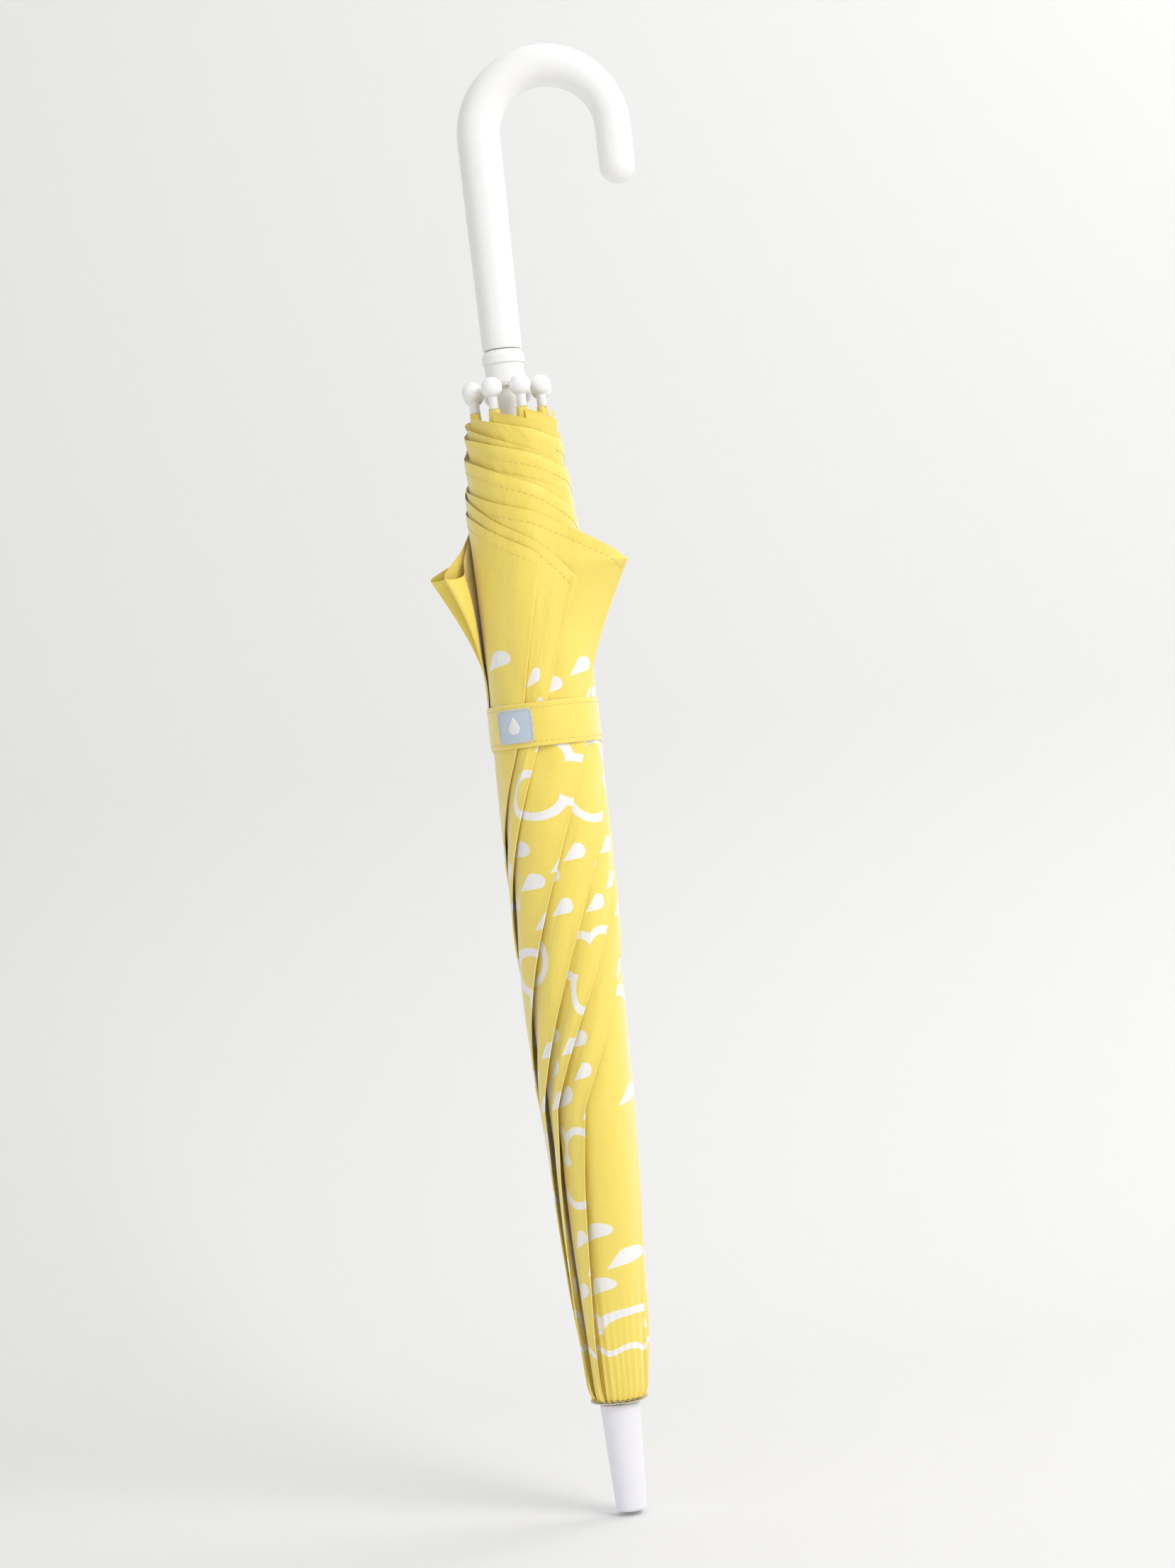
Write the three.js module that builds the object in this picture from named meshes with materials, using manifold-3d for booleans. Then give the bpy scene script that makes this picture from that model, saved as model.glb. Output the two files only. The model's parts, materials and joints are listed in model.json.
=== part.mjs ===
// A child's stick umbrella, furled: eight folding ribs on a steel shaft, a crook handle, a runner,
// and a canopy of eight gores wrapped round the ribs and held by a strap.
// Millimetres. The shaft stands along Z, the ferrule's flat end is at z = 0 and the crook opens to +X.
import * as THREE from "three";
import { mergeVertices } from "three/addons/utils/BufferGeometryUtils.js";
import Module from "manifold-3d";

const wasm = await Module();
wasm.setup();

// ---- driving dimensions ----------------------------------------------------------------------
const FIT = 0.3; // gap between pieces that seat on or slide along each other
const PIN_FIT = 0.12; // radial gap between a pin or wire and the eye that turns on it

const FERRULE = { length: 48, tipRadius: 6.9, topRadius: 9.0, edge: 1.6, shaftDepth: 33 };
const SHAFT = { radius: 4.0, wall: 0.6, endGap: 1.9 };
const WASHER = { radius: 13, thickness: 0.8, teeth: 44, toothDepth: 0.9 };

const RIBS = 8;
const NOTCH = { height: 8, wall: 1.0, rim: 1.5, gapToWasher: 4.2, hingeUp: 3.0, eyeGap: 0.1, slotGap: 0.7 };
const RIB = { length: 439, radius: 1.2, tipReach: 16.3, eye: 1.6, eyeWidth: 2.0, openLean: 68 };
const WIRE = { radius: 0.45 };
const BRACKET = { along: 189, inset: 3.0, cheek: 0.6, halfLength: 3.0 };
const STRETCHER = { width: 1.3, depth: 2.4, eye: 1.5 };
const RIVET = { radius: 0.5, head: 1.1, headThickness: 0.35 };
const BALL = { radius: 4.75, pastRib: 3, stem: 2.1, stemLength: 13 };

const RUNNER = { crownHeight: 10, crownRim: 2.2, sleeveWall: 0.9, gripPastBall: 17.598, gripLength: 16.5 };
// the band's edges are measured down from the top of the grip
const GRIP = { radius: 8.7, bandRadius: 9.5, bandLow: 6.3, bandHigh: 2.5, neck: 8.4, edge: 2.0 };
// the noses are measured out from the runner's bore
const CATCH = { width: 1.2, thickness: 0.8, slope: 14, leg: 10, closedNose: 3.3, openNose: 2.0 };
const CATCH_FROM_GRIP_TOP = 6;
const STOP_PIN = { radius: 0.9, proud: 1.3 };

const HANDLE = { gap: 0.4, edge: 0.8, bottomRadius: 8.75, crookRadius: 9.5, topRadius: 9.35, endRadius: 7.9 };
const CROOK = { straight: 93.85, bend: 29.9, legLength: 26, shaftSocket: 41 };

const CANOPY = { bottomGap: 1.2, belowBall: 10.902, seam: 0.5, ribGap: 0.6, crownRadius: 12.5 };
// the furled bundle: how far up the canopy, from 0 to 1, and the cloth's thickness over the rib there
const BUNDLE = [
  [9 / 437, 6.437],
  [44 / 437, 8.4],
  [84 / 437, 10.359],
  [139 / 437, 12.202],
  [199 / 437, 12.939],
  [299 / 437, 11.435],
  [399 / 437, 8.331],
  [425 / 437, 5.984],
];
// the two corners that stand off the bundle, between the strap and the canopy's top
const FLAP = { aboveStrap: 24.15, belowTop: 22, pointAt: 0.4085, pointHalf: 4.5, thickness: 3 };
const FLAP_REACH = { right: 41.8, left: 39 };

const STRAP = { belowTop: 138, width: 19.7, thickness: 0.8, lap: 70, ramp: 26, lapStart: 55 };
const PAD = { thickness: 0.5, span: 40, width: 14 };
const LABEL = { thickness: 0.6, span: 41, width: 15.5, azimuth: -121 };

// ---- values that follow from them ------------------------------------------------------------
const rad = THREE.MathUtils.degToRad;
const washerZ = FERRULE.length + FIT + 0.7;
const canopyBottom = washerZ + WASHER.thickness + CANOPY.bottomGap;
const notchBottom = washerZ + WASHER.thickness + NOTCH.gapToWasher;
const hingeZ = notchBottom + NOTCH.hingeUp;
const notchHub = SHAFT.radius + FIT + NOTCH.wall;
const hingeRadius = notchHub + NOTCH.eyeGap + RIB.eye;
const notchRadius = hingeRadius + NOTCH.rim;
const slotWidth = Math.max(2 * RIB.radius, RIB.eyeWidth) + NOTCH.slotGap;
const ballCentre = RIB.length + BALL.pastRib; // along the rib from its hinge
const lean = Math.atan2(RIB.tipReach - hingeRadius, ballCentre);
const ballZ = hingeZ + ballCentre * Math.cos(lean);
const linkLength = Math.hypot(BRACKET.along, BRACKET.inset);
const linkAngle = lean - Math.atan2(BRACKET.inset, BRACKET.along); // lean of the line from notch to bracket
const openLink = linkAngle + rad(RIB.openLean) - lean;
const crownZ = hingeZ + 2 * linkLength * Math.cos(linkAngle);
const travel = 2 * linkLength * (Math.cos(linkAngle) - Math.cos(openLink));
const gripTop = ballZ + RUNNER.gripPastBall;
const gripBottom = gripTop - RUNNER.gripLength;
const handleBottom = gripTop + HANDLE.gap;
const shaftTop = handleBottom + CROOK.shaftSocket - SHAFT.endGap;
const canopyTop = ballZ - CANOPY.belowBall;
const strapHeight = canopyTop - STRAP.belowTop;
const sleeveBore = SHAFT.radius + FIT;
const shaftBottom = FERRULE.length - FERRULE.shaftDepth;
const catchRoot = SHAFT.radius - SHAFT.wall - FIT - 0.1;

// ---- helpers ---------------------------------------------------------------------------------
function solidOf(geometry) {
  const bare = geometry.clone();
  bare.deleteAttribute("normal");
  bare.deleteAttribute("uv");
  const merged = mergeVertices(bare, 1e-4);
  return new wasm.Manifold(
    new wasm.Mesh({
      numProp: 3,
      vertProperties: new Float32Array(merged.attributes.position.array),
      triVerts: new Uint32Array(merged.index.array),
    }),
  );
}

function geometryOf(solid) {
  const mesh = solid.getMesh();
  return new THREE.BufferGeometry()
    .setAttribute("position", new THREE.BufferAttribute(mesh.vertProperties, 3))
    .setIndex(new THREE.BufferAttribute(mesh.triVerts, 1));
}

// A turned solid: points are [radius, height], listed from the bottom up the outside.
function turned(points, sides = 32) {
  const profile = points.map(([r, z]) => new THREE.Vector2(r, z));
  return new THREE.LatheGeometry(profile, sides).rotateX(Math.PI / 2);
}

function tube(inner, outer, low, high, sides = 32) {
  return turned([[inner, low], [outer, low], [outer, high], [inner, high], [inner, low]], sides);
}

function disc(radius, low, high, sides = 24) {
  return turned([[0, low], [radius, low], [radius, high], [0, high]], sides);
}

// A box given by its lowest and highest corners.
function block(x0, y0, z0, x1, y1, z1) {
  const box = new THREE.BoxGeometry(x1 - x0, y1 - y0, z1 - z0);
  return box.translate((x0 + x1) / 2, (y0 + y1) / 2, (z0 + z1) / 2);
}

// A pin across the radial plane: its axis along Y, through (x, z).
function crossPin(radius, width, x, z, sides = 8) {
  return new THREE.CylinderGeometry(radius, radius, width, sides).translate(x, 0, z);
}

// A flat plate cut in the radial (x, z) plane, centred on y = 0.
function radialPlate(points, thickness) {
  const shape = new THREE.Shape(points.map(([x, z]) => new THREE.Vector2(x, z)));
  const plate = new THREE.ExtrudeGeometry(shape, { depth: thickness, bevelEnabled: false });
  return plate.rotateX(Math.PI / 2).translate(0, thickness / 2, 0);
}

function ribAzimuth(index) {
  return rad((360 / RIBS) * (index + 0.5));
}

function gap(index) {
  return rad((360 / RIBS) * (index + 1));
}

const umbrella = new THREE.Group();

function addMesh(name, geometry, material, parent = umbrella) {
  const mesh = new THREE.Mesh(geometry, material);
  mesh.name = name;
  parent.add(mesh);
  return mesh;
}

function plastic(color) {
  return new THREE.MeshStandardMaterial({ color, roughness: 0.35, metalness: 0 });
}

function metal(color, roughness) {
  return new THREE.MeshStandardMaterial({ color, roughness, metalness: 0.9 });
}

function cloth(color) {
  return new THREE.MeshStandardMaterial({ color, roughness: 0.8, metalness: 0 });
}

const WHITE = 0xf4f3ef;
const YELLOW = 0xf7cf2e;

// ---- shaft, ferrule, washer, stop pin ----------------------------------------------------------
function makeShaft() {
  let shaft = solidOf(tube(SHAFT.radius - SHAFT.wall, SHAFT.radius, shaftBottom + FIT, shaftTop));
  const slotHalf = CATCH.width / 2 + FIT;
  for (const place of [closedCatch, openCatch]) {
    const low = Math.min(place.flat, place.flat + place.way * (CATCH.slope + 2)) - 0.6;
    const high = Math.max(place.flat, place.flat + place.way * (CATCH.slope + 2)) + 0.6;
    shaft = shaft.subtract(solidOf(block(-slotHalf, 0, low, slotHalf, SHAFT.radius + 1, high)));
  }
  shaft = shaft.subtract(solidOf(crossPin(STOP_PIN.radius + PIN_FIT, 4 * SHAFT.radius, 0, stopZ)));
  addMesh("shaft", geometryOf(shaft), metal(0xd8d8d6, 0.3));
}

function makeFerrule() {
  const outside = [[0, 0], [FERRULE.tipRadius - FERRULE.edge, 0]];
  for (let i = 1; i <= 4; i++) {
    const a = (i / 4) * (Math.PI / 2);
    outside.push([
      FERRULE.tipRadius - FERRULE.edge + FERRULE.edge * Math.sin(a),
      FERRULE.edge - FERRULE.edge * Math.cos(a),
    ]);
  }
  outside.push([FERRULE.topRadius, FERRULE.length - 0.8], [FERRULE.topRadius - 0.5, FERRULE.length]);
  outside.push([SHAFT.radius + FIT, FERRULE.length], [SHAFT.radius + FIT, shaftBottom], [0, shaftBottom]);
  addMesh("ferrule", turned(outside, 40), plastic(0xf3f1f6));
}

function makeWasher() {
  const rim = [];
  for (let i = 0; i < 2 * WASHER.teeth; i++) {
    const a = (i / WASHER.teeth) * Math.PI;
    const r = WASHER.radius - (i % 2) * WASHER.toothDepth;
    rim.push(new THREE.Vector2(r * Math.cos(a), r * Math.sin(a)));
  }
  const shape = new THREE.Shape(rim);
  const hole = new THREE.Path();
  hole.absarc(0, 0, SHAFT.radius + FIT, 0, 2 * Math.PI, true);
  shape.holes.push(hole);
  const washer = new THREE.ExtrudeGeometry(shape, { depth: WASHER.thickness, bevelEnabled: false });
  addMesh("crown_washer", washer.translate(0, 0, washerZ), plastic(0xf1e6cf));
}

// ---- top notch with its wire -------------------------------------------------------------------
// Cuts one radial slot for each rib, open to the outside, between two heights.
function cutSlots(body, low, high, radius, hub) {
  for (let i = 0; i < RIBS; i++) {
    const cutter = block(hub, -slotWidth / 2, low, radius + 2, slotWidth / 2, high);
    body = body.subtract(solidOf(cutter.rotateZ(ribAzimuth(i))));
  }
  return body;
}

function makeNotch() {
  const high = notchBottom + NOTCH.height;
  const hub = solidOf(tube(SHAFT.radius + FIT, notchRadius, notchBottom, high));
  const body = cutSlots(hub, notchBottom - 1, high + 1, notchRadius, notchHub);
  const reach = WIRE.radius + FIT;
  const groove = tube(hingeRadius - reach, notchRadius + 1, hingeZ - reach, hingeZ + reach);
  addMesh("top_notch", geometryOf(body.subtract(solidOf(groove))), plastic(WHITE));
  const wire = new THREE.TorusGeometry(hingeRadius, WIRE.radius, 6, 32).translate(0, 0, hingeZ);
  addMesh("notch_wire", wire, metal(0xb9b9b9, 0.35));
}

// ---- ribs, brackets, stretchers, rivets and ball tips --------------------------------------------
// Everything here is drawn in a rib's own frame: hinge at the origin, rib along +Z, outside to +X.
function ribGeometry() {
  const z = BRACKET.along;
  const inset = -BRACKET.inset;
  const low = z - BRACKET.halfLength;
  const high = z + BRACKET.halfLength;
  const inner = STRETCHER.width / 2 + FIT;
  let rib = solidOf(disc(RIB.radius, 0, RIB.length, 8));
  rib = rib.add(solidOf(crossPin(RIB.eye, RIB.eyeWidth, 0, 0, 12)));
  for (const side of [-1, 1]) {
    const y0 = side > 0 ? inner : -inner - BRACKET.cheek;
    const cheek = solidOf(block(inset - STRETCHER.eye, y0, low, 0, y0 + BRACKET.cheek, high));
    rib = rib.add(cheek);
  }
  const cheekOut = inner + BRACKET.cheek;
  rib = rib.add(solidOf(block(-RIB.radius * 0.8, -cheekOut, low, RIB.radius * 0.6, cheekOut, high)));
  rib = rib.subtract(solidOf(crossPin(RIVET.radius + PIN_FIT, 8, inset, z)));
  rib = rib.subtract(solidOf(crossPin(WIRE.radius + PIN_FIT + 0.08, 4, 0, 0)));
  return geometryOf(rib);
}

function rivetGeometry() {
  const inner = STRETCHER.width / 2 + FIT;
  const half = inner + BRACKET.cheek + PIN_FIT;
  let rivet = solidOf(crossPin(RIVET.radius, 2 * half + 0.2, 0, 0));
  for (const side of [-1, 1]) {
    const head = crossPin(RIVET.head, RIVET.headThickness, 0, 0);
    rivet = rivet.add(solidOf(head.translate(0, side * (half + RIVET.headThickness / 2), 0)));
  }
  return geometryOf(rivet);
}

// In its own frame the stretcher hangs from its rivet at the origin and runs along +Z.
function stretcherGeometry() {
  const x = STRETCHER.depth / 2;
  const y = STRETCHER.width / 2;
  let bar = solidOf(block(-x, -y, 0, x, y, linkLength));
  for (const z of [0, linkLength]) bar = bar.add(solidOf(crossPin(STRETCHER.eye, STRETCHER.width, 0, z)));
  for (const z of [0, linkLength]) bar = bar.subtract(solidOf(crossPin(RIVET.radius + PIN_FIT, 4, 0, z)));
  return geometryOf(bar);
}

function tipGeometry() {
  const low = ballCentre - BALL.stemLength;
  const bore = RIB.radius + FIT;
  const join = Math.asin(BALL.stem / BALL.radius);
  const profile = [[bore, low], [BALL.stem, low]];
  const rings = 8;
  for (let i = 0; i <= rings; i++) {
    const a = join + (i / rings) * (Math.PI - join);
    profile.push([BALL.radius * Math.sin(a), ballCentre - BALL.radius * Math.cos(a)]);
  }
  profile[profile.length - 1][0] = 0;
  profile.push([0, RIB.length + FIT], [bore, RIB.length + FIT], [bore, low]);
  return turned(profile, 14);
}

function makeRibs() {
  const rib = ribGeometry();
  const rivet = rivetGeometry();
  const stretcher = stretcherGeometry();
  const tip = tipGeometry();
  for (let i = 0; i < RIBS; i++) {
    const spoke = new THREE.Group();
    spoke.rotation.z = ribAzimuth(i);
    umbrella.add(spoke);
    const arm = new THREE.Group();
    arm.position.set(hingeRadius, 0, hingeZ);
    arm.rotation.y = lean;
    spoke.add(arm);
    const n = i + 1;
    addMesh("rib_" + n, rib, metal(0xe4e4e2, 0.4), arm);
    addMesh("ball_tip_" + n, tip, plastic(0xfbfaf6), arm);
    const pin = addMesh("rib_rivet_" + n, rivet, metal(0xc4c4c2, 0.35), arm);
    pin.position.set(-BRACKET.inset, 0, BRACKET.along);
    const link = new THREE.Group();
    const out = hingeRadius + linkLength * Math.sin(linkAngle);
    link.position.set(out, 0, hingeZ + linkLength * Math.cos(linkAngle));
    link.rotation.y = -linkAngle;
    spoke.add(link);
    addMesh("stretcher_" + n, stretcher, metal(0xe4e4e2, 0.4), link);
  }
}

// ---- runner, catches and stop ---------------------------------------------------------------------
const closedCatch = { flat: gripTop - CATCH_FROM_GRIP_TOP, way: -1, nose: sleeveBore + CATCH.closedNose };
const openCatch = { flat: gripTop - travel + 1.0, way: 1, nose: sleeveBore + CATCH.openNose };
const stopZ = crownZ - travel - RUNNER.crownHeight / 2 - STOP_PIN.radius - FIT;

function makeRunner() {
  const low = crownZ - RUNNER.crownHeight / 2;
  const high = low + RUNNER.crownHeight;
  const crownRadius = hingeRadius + RUNNER.crownRim;
  const sleeveRadius = sleeveBore + RUNNER.sleeveWall;
  const crown = tube(sleeveBore, crownRadius, low, high);
  const sleeve = tube(sleeveBore, sleeveRadius, Math.min(low, gripBottom), Math.max(high, gripBottom + 2));
  const z = gripBottom;
  const grip = turned(
    [
      [sleeveBore, z],
      [GRIP.radius - GRIP.edge, z],
      [GRIP.radius - GRIP.edge * 0.3, z + GRIP.edge * 0.3],
      [GRIP.radius, z + GRIP.edge],
      [GRIP.radius, gripTop - GRIP.bandLow],
      [GRIP.bandRadius, gripTop - GRIP.bandLow + 0.5],
      [GRIP.bandRadius, gripTop - GRIP.bandHigh],
      [GRIP.neck, gripTop - 0.4],
      [GRIP.neck - 0.4, gripTop],
      [sleeveBore, gripTop],
      [sleeveBore, z],
    ],
    40,
  );
  const slotLow = Math.min(low, gripBottom) - 1;
  const whole = solidOf(crown).add(solidOf(sleeve)).add(solidOf(grip));
  const slotted = cutSlots(whole, slotLow, high + 1, Math.max(crownRadius, GRIP.radius), sleeveRadius);
  const windowHalf = CATCH.width / 2 + 2 * FIT;
  const windowLow = closedCatch.flat - CATCH.slope - 3;
  const window = block(-windowHalf, 0, windowLow, windowHalf, GRIP.bandRadius + 2, closedCatch.flat + FIT);
  const runner = slotted.subtract(solidOf(window));
  addMesh("runner", geometryOf(runner), plastic(WHITE));
}

// A bent strip: a leg inside the shaft, a slope out through its slot, and a flat stop.
function catchGeometry({ flat, way, nose }) {
  const t = CATCH.thickness;
  const inside = catchRoot - t;
  const points = [
    [catchRoot, flat + way * (CATCH.slope + CATCH.leg)],
    [catchRoot, flat + way * CATCH.slope],
    [nose, flat + way * 1.2],
    [nose, flat],
    [inside - 0.6, flat],
    [inside - 0.6, flat + way * t],
    [nose - 1.3, flat + way * t],
    [inside, flat + way * (CATCH.slope - 0.3)],
    [inside, flat + way * (CATCH.slope + CATCH.leg)],
  ];
  return radialPlate(points, CATCH.width).rotateZ(Math.PI / 2);
}

function makeCatches() {
  addMesh("closed_catch", catchGeometry(closedCatch), metal(0xc9c9c6, 0.3));
  addMesh("open_catch", catchGeometry(openCatch), metal(0xc9c9c6, 0.3));
  const pin = crossPin(STOP_PIN.radius, 2 * (SHAFT.radius + STOP_PIN.proud), 0, stopZ);
  addMesh("stop_pin", pin, metal(0xb9b9b9, 0.35));
}

// ---- crook handle --------------------------------------------------------------------------------
// The centreline goes up the shaft, half round the bend and down the short leg.
function crookPoint(along) {
  const arc = Math.PI * CROOK.bend;
  const straight = CROOK.straight;
  if (along < straight) return { x: 0, z: handleBottom + along, turn: 0 };
  if (along < straight + arc) {
    const turn = (along - straight) / CROOK.bend;
    const z = handleBottom + straight + CROOK.bend * Math.sin(turn);
    return { x: CROOK.bend * (1 - Math.cos(turn)), z, turn };
  }
  return { x: 2 * CROOK.bend, z: handleBottom + straight - (along - straight - arc), turn: Math.PI };
}

function makeHandle() {
  const straight = CROOK.straight;
  const arc = Math.PI * CROOK.bend;
  const total = straight + arc + CROOK.legLength;
  const stations = [0, 0.3 * HANDLE.edge, HANDLE.edge];
  const rings = { straight: 5, arc: 18, leg: 2, dome: 5 };
  for (let i = 1; i <= rings.straight; i++) stations.push((i / rings.straight) * straight);
  for (let i = 1; i <= rings.arc; i++) stations.push(straight + (i / rings.arc) * arc);
  const domeStart = total - HANDLE.endRadius;
  const leg = domeStart - straight - arc;
  for (let i = 1; i <= rings.leg; i++) stations.push(straight + arc + (i / rings.leg) * leg);
  for (let i = 1; i < rings.dome; i++) {
    stations.push(domeStart + HANDLE.endRadius * Math.sin((i / rings.dome) * (Math.PI / 2)));
  }
  stations.push(total - 0.02);
  const ease = (t) => THREE.MathUtils.smoothstep(t, 0, 1);
  const radiusAt = (s) => {
    const bend = (s - straight) / arc;
    let r = THREE.MathUtils.lerp(HANDLE.bottomRadius, HANDLE.crookRadius, ease(s / straight));
    if (bend > 0) r = THREE.MathUtils.lerp(HANDLE.crookRadius, HANDLE.topRadius, ease(2 * bend));
    if (bend > 0.5) r = THREE.MathUtils.lerp(HANDLE.topRadius, HANDLE.endRadius, ease(2 * bend - 1));
    if (s < HANDLE.edge) r -= HANDLE.edge - Math.sqrt(Math.max(0, HANDLE.edge ** 2 - (HANDLE.edge - s) ** 2));
    if (s > domeStart) r *= Math.sqrt(Math.max(0, 1 - ((s - domeStart) / HANDLE.endRadius) ** 2));
    return r;
  };
  const bar = new THREE.CylinderGeometry(1, 1, 1, 20, stations.length - 1);
  const position = bar.attributes.position;
  for (let i = 0; i < position.count; i++) {
    const s = stations[Math.round((0.5 - position.getY(i)) * (stations.length - 1))];
    const at = crookPoint(s);
    const r = radiusAt(s);
    const side = position.getX(i) * r;
    const x = at.x + side * Math.cos(at.turn);
    position.setXYZ(i, x, position.getZ(i) * r, at.z - side * Math.sin(at.turn));
  }
  let handle = solidOf(bar);
  const socket = disc(SHAFT.radius + FIT, handleBottom - 1, handleBottom + CROOK.shaftSocket, 32);
  handle = handle.subtract(solidOf(socket));
  addMesh("handle", geometryOf(handle), plastic(0xf6f5f1));
}

// ---- canopy gores -----------------------------------------------------------------------------------
const ribRadius = (z) => hingeRadius + (z - hingeZ) * Math.tan(lean);
const bundle = BUNDLE.map(([share, thickness]) => {
  const z = canopyBottom + share * (canopyTop - canopyBottom);
  return [z, ribRadius(z) + thickness];
});
const strapLow = strapHeight - STRAP.width / 2;
const strapHigh = strapHeight + STRAP.width / 2;

function makeGores() {
  const inside = (z) => ribRadius(z) + RIB.radius + CANOPY.ribGap;
  const hubTop = notchBottom + NOTCH.height;
  const notchClear = Math.max(inside(hubTop), hingeRadius + RIB.eye + FIT, notchRadius + FIT);
  const overBall = hingeZ + ballCentre - BALL.stemLength - 4;
  const stemClear = ribRadius(canopyTop) + BALL.stem + FIT + 0.1;
  const outer = [[CANOPY.crownRadius, canopyBottom], ...bundle.map(([z, r]) => [r, z])];
  const profile = [
    [SHAFT.radius + 2 * FIT, canopyBottom],
    ...outer,
    [stemClear + 1.8, canopyTop],
    [stemClear, canopyTop],
    [stemClear, overBall + 3],
    [inside(overBall), overBall],
    [notchClear, hubTop],
    [notchClear, notchBottom - FIT],
    [SHAFT.radius + 2 * FIT, notchBottom - FIT],
    [SHAFT.radius + 2 * FIT, canopyBottom],
  ];
  const sleeve = solidOf(turned(profile, 32));
  const half = rad(180 / RIBS);
  const far = FLAP_REACH.right + 30;
  for (let i = 0; i < RIBS; i++) {
    const shape = new THREE.Shape([
      new THREE.Vector2(CANOPY.seam, 0),
      new THREE.Vector2(CANOPY.seam + far * Math.cos(half), -far * Math.sin(half)),
      new THREE.Vector2(CANOPY.seam + far * Math.cos(half), far * Math.sin(half)),
    ]);
    const wedge = new THREE.ExtrudeGeometry(shape, { depth: canopyTop + 20, bevelEnabled: false });
    let gore = sleeve.intersect(solidOf(wedge.rotateZ(gap(i))));
    const reach = { 3: FLAP_REACH.left, 7: FLAP_REACH.right }[i];
    if (reach) {
      const low = strapHigh + FLAP.aboveStrap;
      const high = canopyTop - FLAP.belowTop;
      const point = low + FLAP.pointAt * (high - low);
      const root = inside(high) + 1;
      const pointLow = point - FLAP.pointHalf;
      const flap = [[root, low], [reach, pointLow], [reach, pointLow + 2 * FLAP.pointHalf], [root, high]];
      gore = gore.add(solidOf(radialPlate(flap, FLAP.thickness).rotateZ(gap(i))));
    }
    addMesh("gore_" + (i + 1), geometryOf(gore), cloth(YELLOW));
  }
}

// ---- strap, its fastener pads and its label -----------------------------------------------------------
function bundleRadius(z) {
  const above = bundle.findIndex(([height]) => height >= z);
  const [z0, r0] = bundle[above - 1];
  const [z1, r1] = bundle[above];
  return THREE.MathUtils.mapLinear(z, z0, z1, r0, r1);
}

const strapInside = Math.max(bundleRadius(strapLow), bundleRadius(strapHigh)) + FIT;
const lapRise = STRAP.thickness + 2 * PAD.thickness + 3 * FIT;

// A band bent round the shaft between two azimuths in degrees, with an inner radius at each azimuth.
function bentBand(from, to, innerAt, thickness, low, high, steps) {
  const inside = [];
  const outside = [];
  for (let i = 0; i <= steps; i++) {
    const degrees = from + ((to - from) * i) / steps;
    const a = rad(degrees);
    const r = innerAt(degrees);
    inside.push(new THREE.Vector2(r * Math.cos(a), r * Math.sin(a)));
    outside.unshift(new THREE.Vector2((r + thickness) * Math.cos(a), (r + thickness) * Math.sin(a)));
  }
  const shape = new THREE.Shape([...inside, ...outside]);
  return new THREE.ExtrudeGeometry(shape, { depth: high - low, bevelEnabled: false }).translate(0, 0, low);
}

function makeStrap() {
  const start = STRAP.lapStart;
  const end = start + 360 + STRAP.lap;
  const rampStart = start + 360 - STRAP.ramp - 4;
  const radiusAt = (degrees) =>
    strapInside + lapRise * THREE.MathUtils.smoothstep(degrees, rampStart, rampStart + STRAP.ramp);
  addMesh("strap", bentBand(start, end, radiusAt, STRAP.thickness, strapLow, strapHigh, 60), cloth(YELLOW));
  const padLow = strapHeight - PAD.width / 2;
  const padHigh = strapHeight + PAD.width / 2;
  const padFrom = start + 8;
  const loopAt = () => strapInside + STRAP.thickness + FIT;
  const hookAt = () => loopAt() + PAD.thickness + FIT;
  const span = [padFrom, padFrom + PAD.span];
  addMesh("strap_loop_pad", bentBand(...span, loopAt, PAD.thickness, padLow, padHigh, 10), cloth(YELLOW));
  addMesh("strap_hook_pad", bentBand(...span, hookAt, PAD.thickness, padLow, padHigh, 10), cloth(YELLOW));
  const labelAt = () => strapInside + STRAP.thickness + FIT;
  const labelFrom = LABEL.azimuth - LABEL.span / 2;
  const labelLow = strapHeight - LABEL.width / 2;
  const labelHigh = strapHeight + LABEL.width / 2;
  const labelTo = labelFrom + LABEL.span;
  const label = bentBand(labelFrom, labelTo, labelAt, LABEL.thickness, labelLow, labelHigh, 10);
  addMesh("strap_label", label, cloth(0xc9ccd2));
}

makeShaft();
makeFerrule();
makeWasher();
makeNotch();
makeRibs();
makeRunner();
makeCatches();
makeHandle();
makeGores();
makeStrap();

export default umbrella;
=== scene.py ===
import json
import math

import bpy
import numpy as np
from mathutils import Matrix, Vector


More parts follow.
